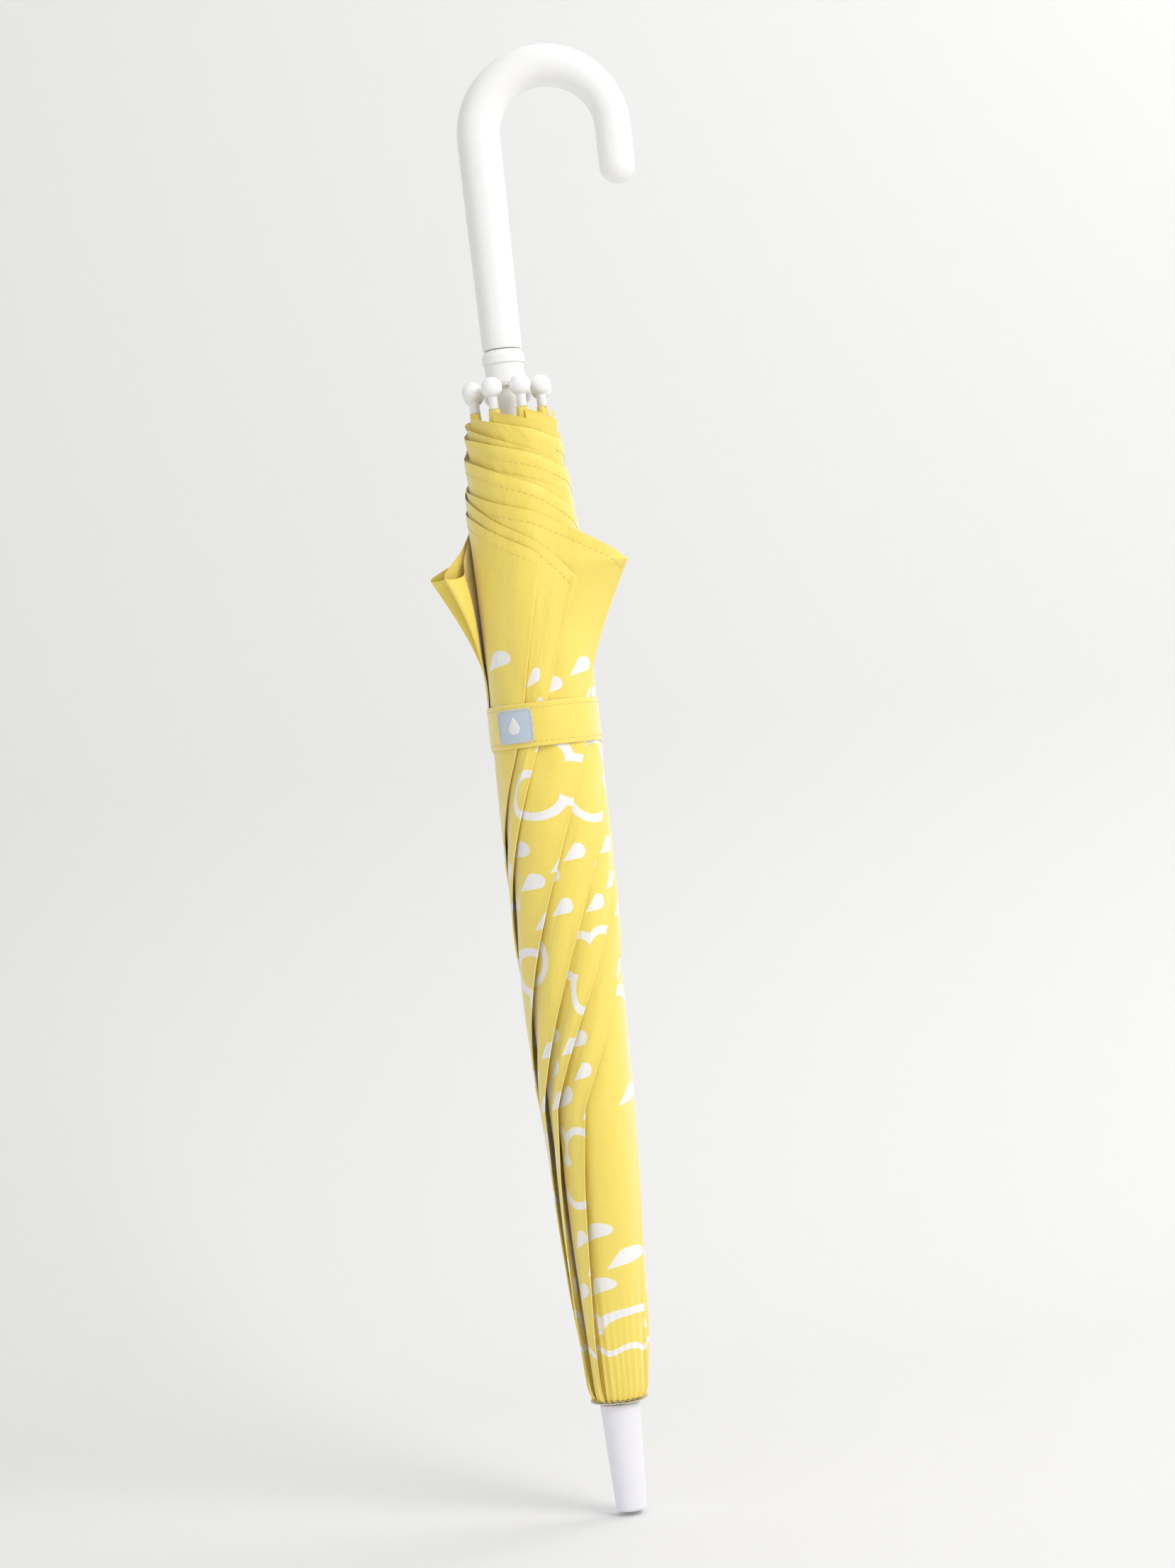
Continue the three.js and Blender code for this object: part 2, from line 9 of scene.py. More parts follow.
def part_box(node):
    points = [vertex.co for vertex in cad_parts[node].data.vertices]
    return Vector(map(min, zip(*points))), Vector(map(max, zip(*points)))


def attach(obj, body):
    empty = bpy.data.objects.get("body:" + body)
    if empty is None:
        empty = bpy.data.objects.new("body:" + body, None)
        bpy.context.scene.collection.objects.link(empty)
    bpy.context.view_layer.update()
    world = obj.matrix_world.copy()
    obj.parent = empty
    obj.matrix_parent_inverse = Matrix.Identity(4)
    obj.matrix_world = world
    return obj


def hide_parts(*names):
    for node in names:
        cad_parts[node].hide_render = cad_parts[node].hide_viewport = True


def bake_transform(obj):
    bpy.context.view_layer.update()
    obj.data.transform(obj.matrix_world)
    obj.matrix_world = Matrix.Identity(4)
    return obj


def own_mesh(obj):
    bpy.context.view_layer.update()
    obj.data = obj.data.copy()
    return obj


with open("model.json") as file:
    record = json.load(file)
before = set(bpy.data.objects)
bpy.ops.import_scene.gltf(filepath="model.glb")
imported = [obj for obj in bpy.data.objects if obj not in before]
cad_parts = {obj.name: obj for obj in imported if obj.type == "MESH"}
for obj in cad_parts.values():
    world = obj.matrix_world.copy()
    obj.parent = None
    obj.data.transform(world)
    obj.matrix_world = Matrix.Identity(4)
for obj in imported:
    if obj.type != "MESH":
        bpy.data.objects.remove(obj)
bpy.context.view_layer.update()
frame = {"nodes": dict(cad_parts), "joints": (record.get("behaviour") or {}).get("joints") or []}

MM = 0.001
NODES = frame["nodes"]
JOINTS = {joint["name"]: joint for joint in frame["joints"]}
RIBS = 8
STEP = 360.0 / RIBS  # degrees from one rib to the next
WHITE = (0.93, 0.925, 0.905)


# ---- places taken from the frame, in millimetres -----------------------------------------------
def node_box(name):
    return [corner * 1000 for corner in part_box(name)]


rib_joint = JOINTS["rib_1_hinge"]
HINGE_R = 1000 * math.hypot(rib_joint["pos_m"][0], rib_joint["pos_m"][1])
HINGE_Z = 1000 * rib_joint["pos_m"][2]
OPEN_TURN = math.radians(rib_joint["range_deg"][1])
BALL_R = 4.75
ball_low, ball_high = node_box("ball_tip_1")
BALL_Z = ball_high.z - BALL_R
TIP_REACH = (ball_low.x + ball_high.x) / 2 / math.cos(math.radians(STEP / 2))
LEAN = math.atan2(TIP_REACH - HINGE_R, BALL_Z - HINGE_Z)  # a furled rib's lean from the shaft
FERRULE_LENGTH = node_box("ferrule")[1].z
washer_low, washer_high = node_box("crown_washer")
handle_low, handle_high = node_box("handle")
strap_low, strap_high = node_box("strap")


def rib_azimuth(index):
    return STEP * (index + 0.5)


def smoothstep(t):
    t = np.clip(t, 0.0, 1.0)
    return t * t * (3 - 2 * t)


# ---- camera, lights and stage ------------------------------------------------------------------
CAMERA_PLACE = (0.0162, -1.30, 0.3216)
CAMERA_ROLL = math.radians(6.4)
CAMERA_LENS = 67.3


def add_camera():
    data = bpy.data.cameras.new("camera")
    data.lens = CAMERA_LENS
    data.sensor_width = 36.0
    camera = bpy.data.objects.new("camera", data)
    bpy.context.scene.collection.objects.link(camera)
    camera.matrix_world = (
        Matrix.Translation(CAMERA_PLACE)
        @ Matrix.Rotation(math.radians(90), 4, "X")
        @ Matrix.Rotation(-CAMERA_ROLL, 4, "Z")
    )
    bpy.context.scene.camera = camera


def add_light(name, place, target, size, power, color=(1, 1, 1)):
    data = bpy.data.lights.new(name, "AREA")
    data.shape = "DISK"
    data.size = size
    data.energy = power
    data.color = color
    light = bpy.data.objects.new(name, data)
    light.location = place
    light.rotation_mode = "QUATERNION"
    light.rotation_quaternion = (Vector(target) - Vector(place)).to_track_quat("-Z", "Y")
    bpy.context.scene.collection.objects.link(light)


def add_world():
    world = bpy.data.worlds.new("soft_studio")
    world.use_nodes = True
    background = world.node_tree.nodes["Background"]
    background.inputs["Color"].default_value = (0.97, 0.98, 1.0, 1)
    background.inputs["Strength"].default_value = 0.64
    bpy.context.scene.world = world
    bpy.context.scene.view_settings.view_transform = "Standard"


def add_stage():
    """A floor that runs up into a backdrop; seen from behind, the backdrop is clear."""
    back, bend, height, half, sunk = 0.62, 0.35, 3.2, 9.0, 0.002
    rows = [(-half, 0.0), (back - bend, 0.0)]
    for i in range(1, 13):
        a = math.radians(90 * i / 12)
        rows.append((back - bend + bend * math.sin(a), bend - bend * math.cos(a)))
    rows.append((back, height))
    verts = [(x, y, z - sunk) for y, z in rows for x in (-half, half)]
    faces = [(2 * i, 2 * i + 1, 2 * i + 3, 2 * i + 2) for i in range(len(rows) - 1)]
    mesh = bpy.data.meshes.new("backdrop")
    mesh.from_pydata(verts, [], faces)
    for polygon in mesh.polygons:
        polygon.use_smooth = True
    floor = bpy.data.objects.new("backdrop", mesh)
    bpy.context.scene.collection.objects.link(floor)
    material = bpy.data.materials.new("pale_floor")
    material.use_nodes = True
    tree = material.node_tree
    shader = tree.nodes["Principled BSDF"]
    shader.inputs["Base Color"].default_value = (0.80, 0.797, 0.79, 1)
    shader.inputs["Roughness"].default_value = 0.9
    shader.inputs["Specular IOR Level"].default_value = 0.1
    geometry = tree.nodes.new("ShaderNodeNewGeometry")
    clear = tree.nodes.new("ShaderNodeBsdfTransparent")
    mix = tree.nodes.new("ShaderNodeMixShader")
    output = tree.nodes["Material Output"]
    tree.links.new(geometry.outputs["Backfacing"], mix.inputs[0])
    tree.links.new(shader.outputs[0], mix.inputs[1])
    tree.links.new(clear.outputs[0], mix.inputs[2])
    tree.links.new(mix.outputs[0], output.inputs["Surface"])
    mesh.materials.append(material)


# ---- shader helpers ----------------------------------------------------------------------------
class Shading:
    """A node tree under construction, with short calls for the nodes that are used here."""

    def __init__(self, tree):
        self.tree = tree

    def node(self, kind, **values):
        made = self.tree.nodes.new("ShaderNode" + kind)
        for key, value in values.items():
            setattr(made, key, value)
        return made

    def feed(self, socket, value):
        if isinstance(value, bpy.types.NodeSocket):
            self.tree.links.new(value, socket)
        else:
            socket.default_value = value

    def math(self, operation, *inputs, clamp=False):
        made = self.node("Math", operation=operation, use_clamp=clamp)
        for socket, value in zip(made.inputs, inputs):
            self.feed(socket, value)
        return made.outputs[0]

    def noise(self, vector, scale, detail=2.0, roughness=0.5):
        made = self.node("TexNoise")
        self.feed(made.inputs["Vector"], vector)
        made.inputs["Scale"].default_value = scale
        made.inputs["Detail"].default_value = detail
        made.inputs["Roughness"].default_value = roughness
        return made.outputs["Fac"]

    def stretch(self, vector, scale):
        made = self.node("Mapping")
        self.feed(made.inputs["Vector"], vector)
        made.inputs["Scale"].default_value = scale
        return made.outputs[0]

    def mix(self, factor, a, b):
        made = self.node("Mix", data_type="RGBA")
        for name, value in (("Factor", factor), ("A", a), ("B", b)):
            socket = [s for s in made.inputs if s.name == name and s.enabled][0]
            self.feed(socket, value)
        return [s for s in made.outputs if s.enabled][0]

    def bump(self, height, strength, distance, normal=None):
        made = self.node("Bump")
        made.inputs["Strength"].default_value = strength
        made.inputs["Distance"].default_value = distance
        self.feed(made.inputs["Height"], height)
        if normal is not None:
            self.feed(made.inputs["Normal"], normal)
        return made.outputs["Normal"]

    def group(self, tree, **inputs):
        made = self.node("Group")
        made.node_tree = tree
        for name, value in inputs.items():
            self.feed(made.inputs[name.replace("_", " ")], value)
        return made


def new_group(name, inputs, outputs):
    tree = bpy.data.node_groups.new(name, "ShaderNodeTree")
    for label, kind, default in inputs:
        socket = tree.interface.new_socket(label, in_out="INPUT", socket_type="NodeSocket" + kind)
        if default is not None:
            socket.default_value = default
    for label, kind in outputs:
        tree.interface.new_socket(label, in_out="OUTPUT", socket_type="NodeSocket" + kind)
    shading = Shading(tree)
    entry = tree.nodes.new("NodeGroupInput")
    leave = tree.nodes.new("NodeGroupOutput")
    return shading, entry.outputs, leave.inputs


def moulded_group():
    """Moulded plastic: long soft unevenness, fine orange peel and faint handling marks."""
    s, given, out = new_group(
        "moulded_plastic",
        [
            ("Color", "Color", (0.9, 0.9, 0.9, 1)),
            ("Tint", "Color", (0.8, 0.8, 0.8, 1)),
            ("Roughness", "Float", 0.3),
        ],
        [("Color", "Color"), ("Roughness", "Float"), ("Normal", "Vector")],
    )
    place = s.node("TexCoord").outputs["Object"]
    broad = s.noise(place, 28.0, 2.0)
    fine = s.noise(place, 900.0, 2.0)
    marks = s.noise(s.stretch(place, (420.0, 420.0, 60.0)), 1.0, 4.0, 0.6)
    worn = s.math("MULTIPLY", s.math("SUBTRACT", marks, 0.52, clamp=True), 0.5)
    shade = s.math("MULTIPLY_ADD", broad, 0.35, worn)
    s.feed(out["Color"], s.mix(shade, given["Color"], given["Tint"]))
    rough = s.math("MULTIPLY_ADD", marks, 0.10, s.math("SUBTRACT", given["Roughness"], 0.05))
    s.feed(out["Roughness"], rough)
    soft = s.bump(broad, 0.10, 0.0012)
    s.feed(out["Normal"], s.bump(fine, 0.05, 0.00012, soft))
    return s.tree


def weave_group():
    """Plain woven polyester: crossing threads, slubs, and small creases from being folded. Its Shade output
    is the slubs' own tone plus painted shade along the creases.
    """
    s, given, out = new_group(
        "fine_weave",
        [("Vector", "Vector", None), ("Threads", "Float", 7500.0), ("Crease", "Float", 1.0)],
        [("Shade", "Float"), ("Normal", "Vector")],
    )
    split = s.node("SeparateXYZ")
    s.feed(split.inputs[0], given["Vector"])
    across = s.math("SINE", s.math("MULTIPLY", split.outputs[0], given["Threads"]))
    along = s.math("SINE", s.math("MULTIPLY", split.outputs[1], given["Threads"]))
    cloth = s.math("MULTIPLY", across, along)
    slub = s.noise(s.stretch(given["Vector"], (60.0, 1400.0, 1.0)), 1.0, 2.0)
    creases = s.noise(s.stretch(given["Vector"], (150.0, 34.0, 1.0)), 1.0, 4.0, 0.55)
    soft = s.noise(s.stretch(given["Vector"], (42.0, 16.0, 1.0)), 1.0, 2.0)
    # Shade: the slubs' real tone, plus painted shade that darkens the cloth along the creases
    s.feed(out["Shade"], s.math("MULTIPLY_ADD", slub, 0.35, s.math("MULTIPLY", creases, 0.65)))
    folded = s.math("MULTIPLY", s.math("MULTIPLY_ADD", creases, 0.45, soft), given["Crease"])
    wrinkled = s.bump(folded, 0.55, 0.004)
    s.feed(out["Normal"], s.bump(cloth, 0.18, 0.00010, wrinkled))
    return s.tree


# The print: one cloud outline and a shower of drops, repeated over the gore. Millimetres.
CELL = (92.0, 94.0)
CLOUD_AT = (0.0, -22.0)
CLOUD = [(-22, 3, 10.0), (-9, -6, 12.5), (9, -7, 12.0), (23, 2, 10.5), (10, 9, 10.0), (-9, 9, 10.5)]
CLOUD_LINE = 3.8
DROPS = [(-37, 10), (-19, 8), (1, 11), (18, 9), (37, 11)]
DROPS += [(-28, 24), (-10, 22), (8, 25), (27, 23)]
DROPS += [(-36, 37), (-18, 36), (0, 38), (19, 36), (36, 37)]
DROP_LENGTH = 9.2
DROP_HALF_WIDTH = 3.7
DROP_POINT = 0.3  # cuts a drop's point short, so that no hairline runs on from it
DROP_LEAN = math.radians(142)  # the drops' points lean back towards the crown
PRINT_TO = 372.0  # the cloth is plain from here to the hem
PRINT_SHIFT = (0, 37, 14, 58, 81, 46, 69, 25)  # where each gore was cut across the printed cloth
BAND_HEIGHT, BAND_WAVE, BAND_LENGTH, BAND_HALF = 25.0, 1.5, 9.0, 1.5  # a wavy line round the crown


def cloud_outline(s, u, v):
    """How far inside the cloud's drawn line a point of the cell is."""
    nearest = None
    for cx, cy, r in CLOUD:
        dx = s.math("SUBTRACT", u, cx + CLOUD_AT[0])
        dy = s.math("SUBTRACT", v, cy + CLOUD_AT[1])
        far = s.math("SQRT", s.math("MULTIPLY_ADD", dx, dx, s.math("MULTIPLY", dy, dy)))
        edge = s.math("SUBTRACT", far, r)
        nearest = edge if nearest is None else s.math("MINIMUM", nearest, edge)
    return s.math("SUBTRACT", CLOUD_LINE / 2, s.math("ABSOLUTE", nearest))


def drop_shapes(s, u, v):
    """How far inside the nearest drop a point of the cell is: a round foot and a straight point."""
    drops = None
    cos, sin = math.cos(DROP_LEAN), math.sin(DROP_LEAN)
    for cx, cy in DROPS:
        dx = s.math("SUBTRACT", u, cx)
        dy = s.math("SUBTRACT", v, cy)
        side = s.math("MULTIPLY_ADD", dx, cos, s.math("MULTIPLY", dy, sin))
        up = s.math("MULTIPLY_ADD", dy, cos, s.math("MULTIPLY", dx, -sin))
        risen = s.math("DIVIDE", s.math("MAXIMUM", up, 0.0), DROP_LENGTH)
        taper = s.math("SUBTRACT", 1.0, risen, clamp=True)
        low = s.math("MINIMUM", up, 0.0)
        far = s.math("SQRT", s.math("MULTIPLY_ADD", side, side, s.math("MULTIPLY", low, low)))
        reach = s.math("MULTIPLY_ADD", taper, DROP_HALF_WIDTH + DROP_POINT, -DROP_POINT)
        inside = s.math("SUBTRACT", reach, far)
        drops = inside if drops is None else s.math("MAXIMUM", drops, inside)
    return drops


def wavy_band(s, x, y):
    """How far inside the wavy line round the crown a point of the gore is."""
    swing = s.math("COSINE", s.math("MULTIPLY", x, 2 * math.pi / BAND_LENGTH))
    off = s.math("SUBTRACT", y, s.math("MULTIPLY_ADD", swing, BAND_WAVE, BAND_HEIGHT))
    return s.math("SUBTRACT", BAND_HALF, s.math("ABSOLUTE", off))


def print_group():
    """White cloud outlines and falling drops on the gore's flat cut, as a mask."""
    s, given, out = new_group("cloud_print", [("Vector", "Vector", None)], [("Mask", "Float")])
    split = s.node("SeparateXYZ")
    s.feed(split.inputs[0], given["Vector"])
    x = s.math("MULTIPLY", split.outputs[0], 1000.0)
    y = s.math("MULTIPLY", split.outputs[1], 1000.0)
    row = s.math("FLOOR", s.math("DIVIDE", y, CELL[1]))
    shifted = s.math("MULTIPLY_ADD", s.math("MODULO", row, 2.0), CELL[0] / 2, x)
    u = s.math("SUBTRACT", s.math("FLOORED_MODULO", shifted, CELL[0]), CELL[0] / 2)
    v = s.math("SUBTRACT", s.math("FLOORED_MODULO", y, CELL[1]), CELL[1] / 2)
    line = cloud_outline(s, u, v)
    drops = drop_shapes(s, u, v)
    band = wavy_band(s, x, y)
    above = s.math("GREATER_THAN", y, BAND_HEIGHT + 8.0)
    clear = s.math("MULTIPLY", above, s.math("LESS_THAN", y, PRINT_TO))
    spread = s.math("MULTIPLY_ADD", clear, 100.0, -100.0)
    shape = s.math("MAXIMUM", s.math("ADD", s.math("MAXIMUM", line, drops), spread), band)
    s.feed(out["Mask"], s.math("MULTIPLY_ADD", shape, 5.0, 0.5, clamp=True))
    return s.tree


MOULDED = moulded_group()
WEAVE = weave_group()
PRINT = print_group()


def new_material(name):
    material = bpy.data.materials.new(name)
    material.use_nodes = True
    return material, Shading(material.node_tree), material.node_tree.nodes["Principled BSDF"]


def plastic(name, color, tint, roughness, coat=0.0, soft=0.0):
    material, s, shader = new_material(name)
    skin = s.group(MOULDED, Color=(*color, 1), Tint=(*tint, 1), Roughness=roughness)
    s.feed(shader.inputs["Base Color"], skin.outputs["Color"])
    s.feed(shader.inputs["Roughness"], skin.outputs["Roughness"])
    s.feed(shader.inputs["Normal"], skin.outputs["Normal"])
    shader.inputs["Coat Weight"].default_value = coat
    shader.inputs["Coat Roughness"].default_value = 0.12
    shader.inputs["Subsurface Weight"].default_value = soft
    shader.inputs["Subsurface Radius"].default_value = (0.004, 0.003, 0.002)
    shader.inputs["Subsurface Scale"].default_value = 0.5
    return material


def steel(name, color, roughness, metallic=1.0):
    material, s, shader = new_material(name)
    place = s.node("TexCoord").outputs["Object"]
    drawn = s.noise(s.stretch(place, (900.0, 900.0, 25.0)), 1.0, 3.0)
    dull = s.noise(place, 60.0, 3.0)
    worn = (*[c * 0.72 for c in color], 1)
    s.feed(shader.inputs["Base Color"], s.mix(s.math("MULTIPLY", dull, 0.35), (*color, 1), worn))
    s.feed(shader.inputs["Roughness"], s.math("MULTIPLY_ADD", drawn, 0.25, roughness - 0.1))
    s.feed(shader.inputs["Normal"], s.bump(drawn, 0.08, 0.0002))
    shader.inputs["Metallic"].default_value = metallic
    return material


def canopy_cloth(name, printed=True, crease=1.0, color=(0.93, 0.745, 0.125)):
    material, s, shader = new_material(name)
    flat = s.node("UVMap", uv_map="flat_cut").outputs["UV"]
    weave = s.group(WEAVE, Vector=flat, Threads=7500.0, Crease=crease)
    deep = (color[0] * 0.93, color[1] * 0.88, color[2] * 0.7, 1)
    # The cloth's colour, darkened by its slubs and by painted shade along the creases
    cloth_colour_and_crease_shade = s.mix(s.math("MULTIPLY", weave.outputs["Shade"], 0.6), (*color, 1), deep)
    if printed:
        mask = s.group(PRINT, Vector=flat).outputs["Mask"]
        cloth_colour_and_crease_shade = s.mix(mask, cloth_colour_and_crease_shade, (0.90, 0.885, 0.86, 1))
    s.feed(shader.inputs["Base Color"], cloth_colour_and_crease_shade)
    s.feed(shader.inputs["Normal"], weave.outputs["Normal"])
    shader.inputs["Roughness"].default_value = 0.42
    shader.inputs["Specular IOR Level"].default_value = 0.6
    shader.inputs["Sheen Weight"].default_value = 0.8
    shader.inputs["Sheen Roughness"].default_value = 0.5
    shader.inputs["Sheen Tint"].default_value = (1.0, 1.0, 0.96, 1)
    return material


def thread_material(name, color):
    material, s, shader = new_material(name)
    place = s.node("TexCoord").outputs["Object"]
    twist = s.noise(s.stretch(place, (1500.0, 1500.0, 1500.0)), 1.0, 1.0)
    s.feed(shader.inputs["Base Color"], s.mix(twist, (*color, 1), (*[c * 0.8 for c in color], 1)))
    s.feed(shader.inputs["Normal"], s.bump(twist, 0.4, 0.0001))
    shader.inputs["Roughness"].default_value = 0.6
    shader.inputs["Sheen Weight"].default_value = 0.3
    return material


def film_material():
    material, s, shader = new_material("washer_film")
    place = s.node("TexCoord").outputs["Object"]
    cloudy = s.noise(place, 260.0, 3.0)
    s.feed(shader.inputs["Base Color"], s.mix(cloudy, (0.88, 0.82, 0.70, 1), (0.78, 0.70, 0.56, 1)))
    s.feed(shader.inputs["Alpha"], s.math("MULTIPLY_ADD", cloudy, 0.25, 0.62))
    s.feed(shader.inputs["Normal"], s.bump(cloudy, 0.2, 0.0003))
    shader.inputs["Roughness"].default_value = 0.35
    return material


def pad_material():
    material, s, shader = new_material("hook_and_loop")
    place = s.node("TexCoord").outputs["Object"]
    fuzz = s.noise(place, 2200.0, 3.0, 0.7)
    s.feed(shader.inputs["Base Color"], s.mix(fuzz, (0.85, 0.60, 0.08, 1), (0.95, 0.74, 0.2, 1)))
    s.feed(shader.inputs["Normal"], s.bump(fuzz, 0.8, 0.0006))
    shader.inputs["Roughness"].default_value = 0.85
    shader.inputs["Sheen Weight"].default_value = 0.5
    return material


def label_material():
    """A plain woven label: pale satin ground with a fine rib."""
    material, s, shader = new_material("label_weave")
    place = s.node("TexCoord").outputs["Object"]
    split = s.node("SeparateXYZ")
    s.feed(split.inputs[0], place)
    rib = s.math("SINE", s.math("MULTIPLY", split.outputs[2], 14000.0))
    fleck = s.noise(place, 1800.0, 2.0)
    s.feed(shader.inputs["Base Color"], s.mix(fleck, (0.50, 0.60, 0.70, 1), (0.60, 0.69, 0.77, 1)))
    s.feed(shader.inputs["Normal"], s.bump(rib, 0.35, 0.00008))
    shader.inputs["Roughness"].default_value = 0.5
    shader.inputs["Sheen Weight"].default_value = 0.3
    return material


MATERIALS = {
    "handle": plastic("handle_satin_white", WHITE, (0.86, 0.85, 0.82), 0.34, coat=0.25, soft=0.15),
    "white": plastic("runner_white", WHITE, (0.86, 0.855, 0.83), 0.28, coat=0.3, soft=0.1),
    "tip": plastic("ball_tip_white", (0.95, 0.945, 0.93), (0.88, 0.88, 0.86), 0.2, coat=0.5, soft=0.2),
    "ferrule": plastic(
        "ferrule_cool_white", (0.86, 0.845, 0.90), (0.80, 0.785, 0.84), 0.36, coat=0.1, soft=0.2
    ),
    "lacquer": steel("white_lacquered_steel", (0.88, 0.88, 0.86), 0.35, metallic=0.0),
    "steel": steel("plated_steel", (0.72, 0.72, 0.71), 0.3),
    "canopy": canopy_cloth("canopy_cloth"),
    "strap": canopy_cloth("strap_cloth", printed=False, crease=0.5),
    "thread": thread_material("sewing_thread", (0.93, 0.74, 0.20)),
    "film": film_material(),
    "pad": pad_material(),
    "label": label_material(),
    "label_edge": thread_material("label_edge_thread", (0.80, 0.81, 0.82)),
    "label_drop": thread_material("label_drop_thread", (0.93, 0.93, 0.92)),
}


# ---- mesh helpers ------------------------------------------------------------------------------
def new_piece(name, verts, faces, material, body=None, smooth=True, uv=None):
    mesh = bpy.data.meshes.new(name)
    mesh.from_pydata([tuple(v) for v in np.asarray(verts) * MM], [], [tuple(f) for f in faces])
    mesh.validate()
    if uv is not None:
        layer = mesh.uv_layers.new(name="flat_cut")
        corner = np.zeros(len(mesh.loops), dtype=np.int32)
        mesh.loops.foreach_get("vertex_index", corner)
        layer.data.foreach_set("uv", (np.asarray(uv)[corner] * MM).astype(np.float32).ravel())
    mesh.polygons.foreach_set("use_smooth", [smooth] * len(mesh.polygons))
    mesh.materials.append(MATERIALS[material])
    piece = bpy.data.objects.new(name, mesh)
    bpy.context.scene.collection.objects.link(piece)
    if body:
        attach(piece, body)
    return piece


def grid_faces(rows, columns, closed=False):
    faces = []
    for i in range(rows - 1):
        for j in range(columns if closed else columns - 1):
            k = (j + 1) % columns
            faces.append((i * columns + j, i * columns + k, (i + 1) * columns + k, (i + 1) * columns + j))
    return faces


def lathe(profile, sides, place=(0, 0, 0), turn=None):
    """A closed turned body from (radius, height) points that start and end on the axis or meet."""
    verts, faces = [], []
    closed = profile[0] == profile[-1]
    points = profile[:-1] if closed else profile
    rings = []
    for r, z in points:
        if r < 1e-6:
            rings.append([len(verts)])
            verts.append((0, 0, z))
            continue
        ring = []
        for k in range(sides):
            a = 2 * math.pi * k / sides
            ring.append(len(verts))
            verts.append((r * math.cos(a), r * math.sin(a), z))
        rings.append(ring)
    pairs = list(zip(rings, rings[1:]))
    if closed:
        pairs.append((rings[-1], rings[0]))
    for low, high in pairs:
        for k in range(sides):
            n = (k + 1) % sides
            if len(low) == 1 and len(high) > 1:
                faces.append((low[0], high[n], high[k]))
            elif len(high) == 1 and len(low) > 1:
                faces.append((low[k], low[n], high[0]))
            elif len(low) > 1:
                faces.append((low[k], low[n], high[n], high[k]))
    verts = np.array(verts, float)
    if turn is not None:
        verts = verts @ np.array(turn).T
    return verts + np.array(place), faces


def rotation(axis, angle):
    return np.array(Matrix.Rotation(angle, 3, Vector(axis)))


def rib_frame(index):
    """Hinge point of a rib and the turn that leans a body drawn along +Z onto the rib."""
    a = math.radians(rib_azimuth(index))
    hinge = np.array([HINGE_R * math.cos(a), HINGE_R * math.sin(a), HINGE_Z])
    return hinge, rotation((0, 0, 1), a) @ rotation((0, 1, 0), LEAN)


def dress(names, material):
    """Gives carried-over CAD nodes a finish and smooth shading with crisp edges."""
    for name in names:
        node = NODES[name]
        node.data.materials.clear()
        node.data.materials.append(MATERIALS[material])
        node.data.polygons.foreach_set("use_smooth", [True] * len(node.data.polygons))
        node.data.set_sharp_from_angle(angle=math.radians(32))


# ---- hard parts --------------------------------------------------------------------------------
def make_handle():
    """A straight grip that bends over in a half circle to a short leg with a domed end."""
    bottom = handle_low.z
    top_radius, crook_radius, bottom_radius, end_radius = 9.35, 9.5, 8.75, 7.9
    bend = (handle_high.x - end_radius) / 2
    straight = handle_high.z - top_radius - bend - bottom
    arc = math.pi * bend
    leg, edge = 26.0, 0.8
    total = straight + arc + leg
    dome = total - end_radius
    stations = [0, 0.1, 0.3, 0.55, edge]
    stations += [edge + (straight - edge) * i / 16 for i in range(1, 17)]
    stations += [straight + arc * i / 48 for i in range(1, 49)]
    stations += [straight + arc + (dome - straight - arc) * i / 6 for i in range(1, 7)]
    stations += [dome + end_radius * math.sin(math.pi / 2 * i / 10) for i in range(1, 10)] + [total - 0.02]
    sides = 56
    verts = []
    for s in stations:
        r = bottom_radius + (crook_radius - bottom_radius) * smoothstep(s / straight)
        turn = (s - straight) / arc
        if turn > 0:
            r = crook_radius + (top_radius - crook_radius) * smoothstep(2 * turn)
        if turn > 0.5:
            r = top_radius + (end_radius - top_radius) * smoothstep(2 * turn - 1)
        if s < edge:
            r -= edge - math.sqrt(max(0.0, edge**2 - (edge - s) ** 2))
        if s > dome:
            r *= math.sqrt(max(0.0, 1 - ((s - dome) / end_radius) ** 2))
        a = min(max(turn, 0.0), 1.0) * math.pi
        x = bend * (1 - math.cos(a))
        z = bottom + min(s, straight) + bend * math.sin(a) - max(0.0, s - straight - arc)
        for k in range(sides):
            b = 2 * math.pi * k / sides
            seam = 0.10 * math.exp(-((math.sin(b) * 9) ** 2)) if r > 4 else 0.0  # the mould's parting line
            side = (r + seam) * math.cos(b)
            verts.append((x + side * math.cos(a), (r + seam) * math.sin(b), z - side * math.sin(a)))
    faces = grid_faces(len(stations), sides, closed=True)
    faces = [tuple(reversed(f)) for f in faces]
    last = (len(stations) - 1) * sides
    faces.append(tuple(range(sides)))
    faces.append(tuple(last + k for k in reversed(range(sides))))
    piece = new_piece("crook_handle", verts, faces, "handle", "frame")
    piece.data.set_sharp_from_angle(angle=math.radians(40))
    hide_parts("handle")


def make_ferrule():
    """A blunt cap that widens a little towards the canopy."""
    tip, top, edge, bore = 6.9, 9.0, 1.6, 4.3
    length = FERRULE_LENGTH
    profile = [(0, 0), (tip - edge, 0)]
    for i in range(1, 9):
        a = math.pi / 2 * i / 8
        profile.append((tip - edge + edge * math.sin(a), edge - edge * math.cos(a)))
    for i in range(1, 12):
        t = i / 12
        profile.append((tip + (top - tip) * t, edge + (length - edge - 0.9) * t))
    profile += [(top, length - 0.9), (top - 0.12, length - 0.4)]
    profile += [(top - 0.5, length - 0.08), (top - 1.0, length)]
    profile += [(bore, length), (bore, length - 2.5), (0, length - 2.5)]
    verts, faces = lathe(profile, 72)
    piece = new_piece("ferrule_cap", verts, faces, "ferrule", "frame")
    piece.data.set_sharp_from_angle(angle=math.radians(50))
    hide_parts("ferrule")


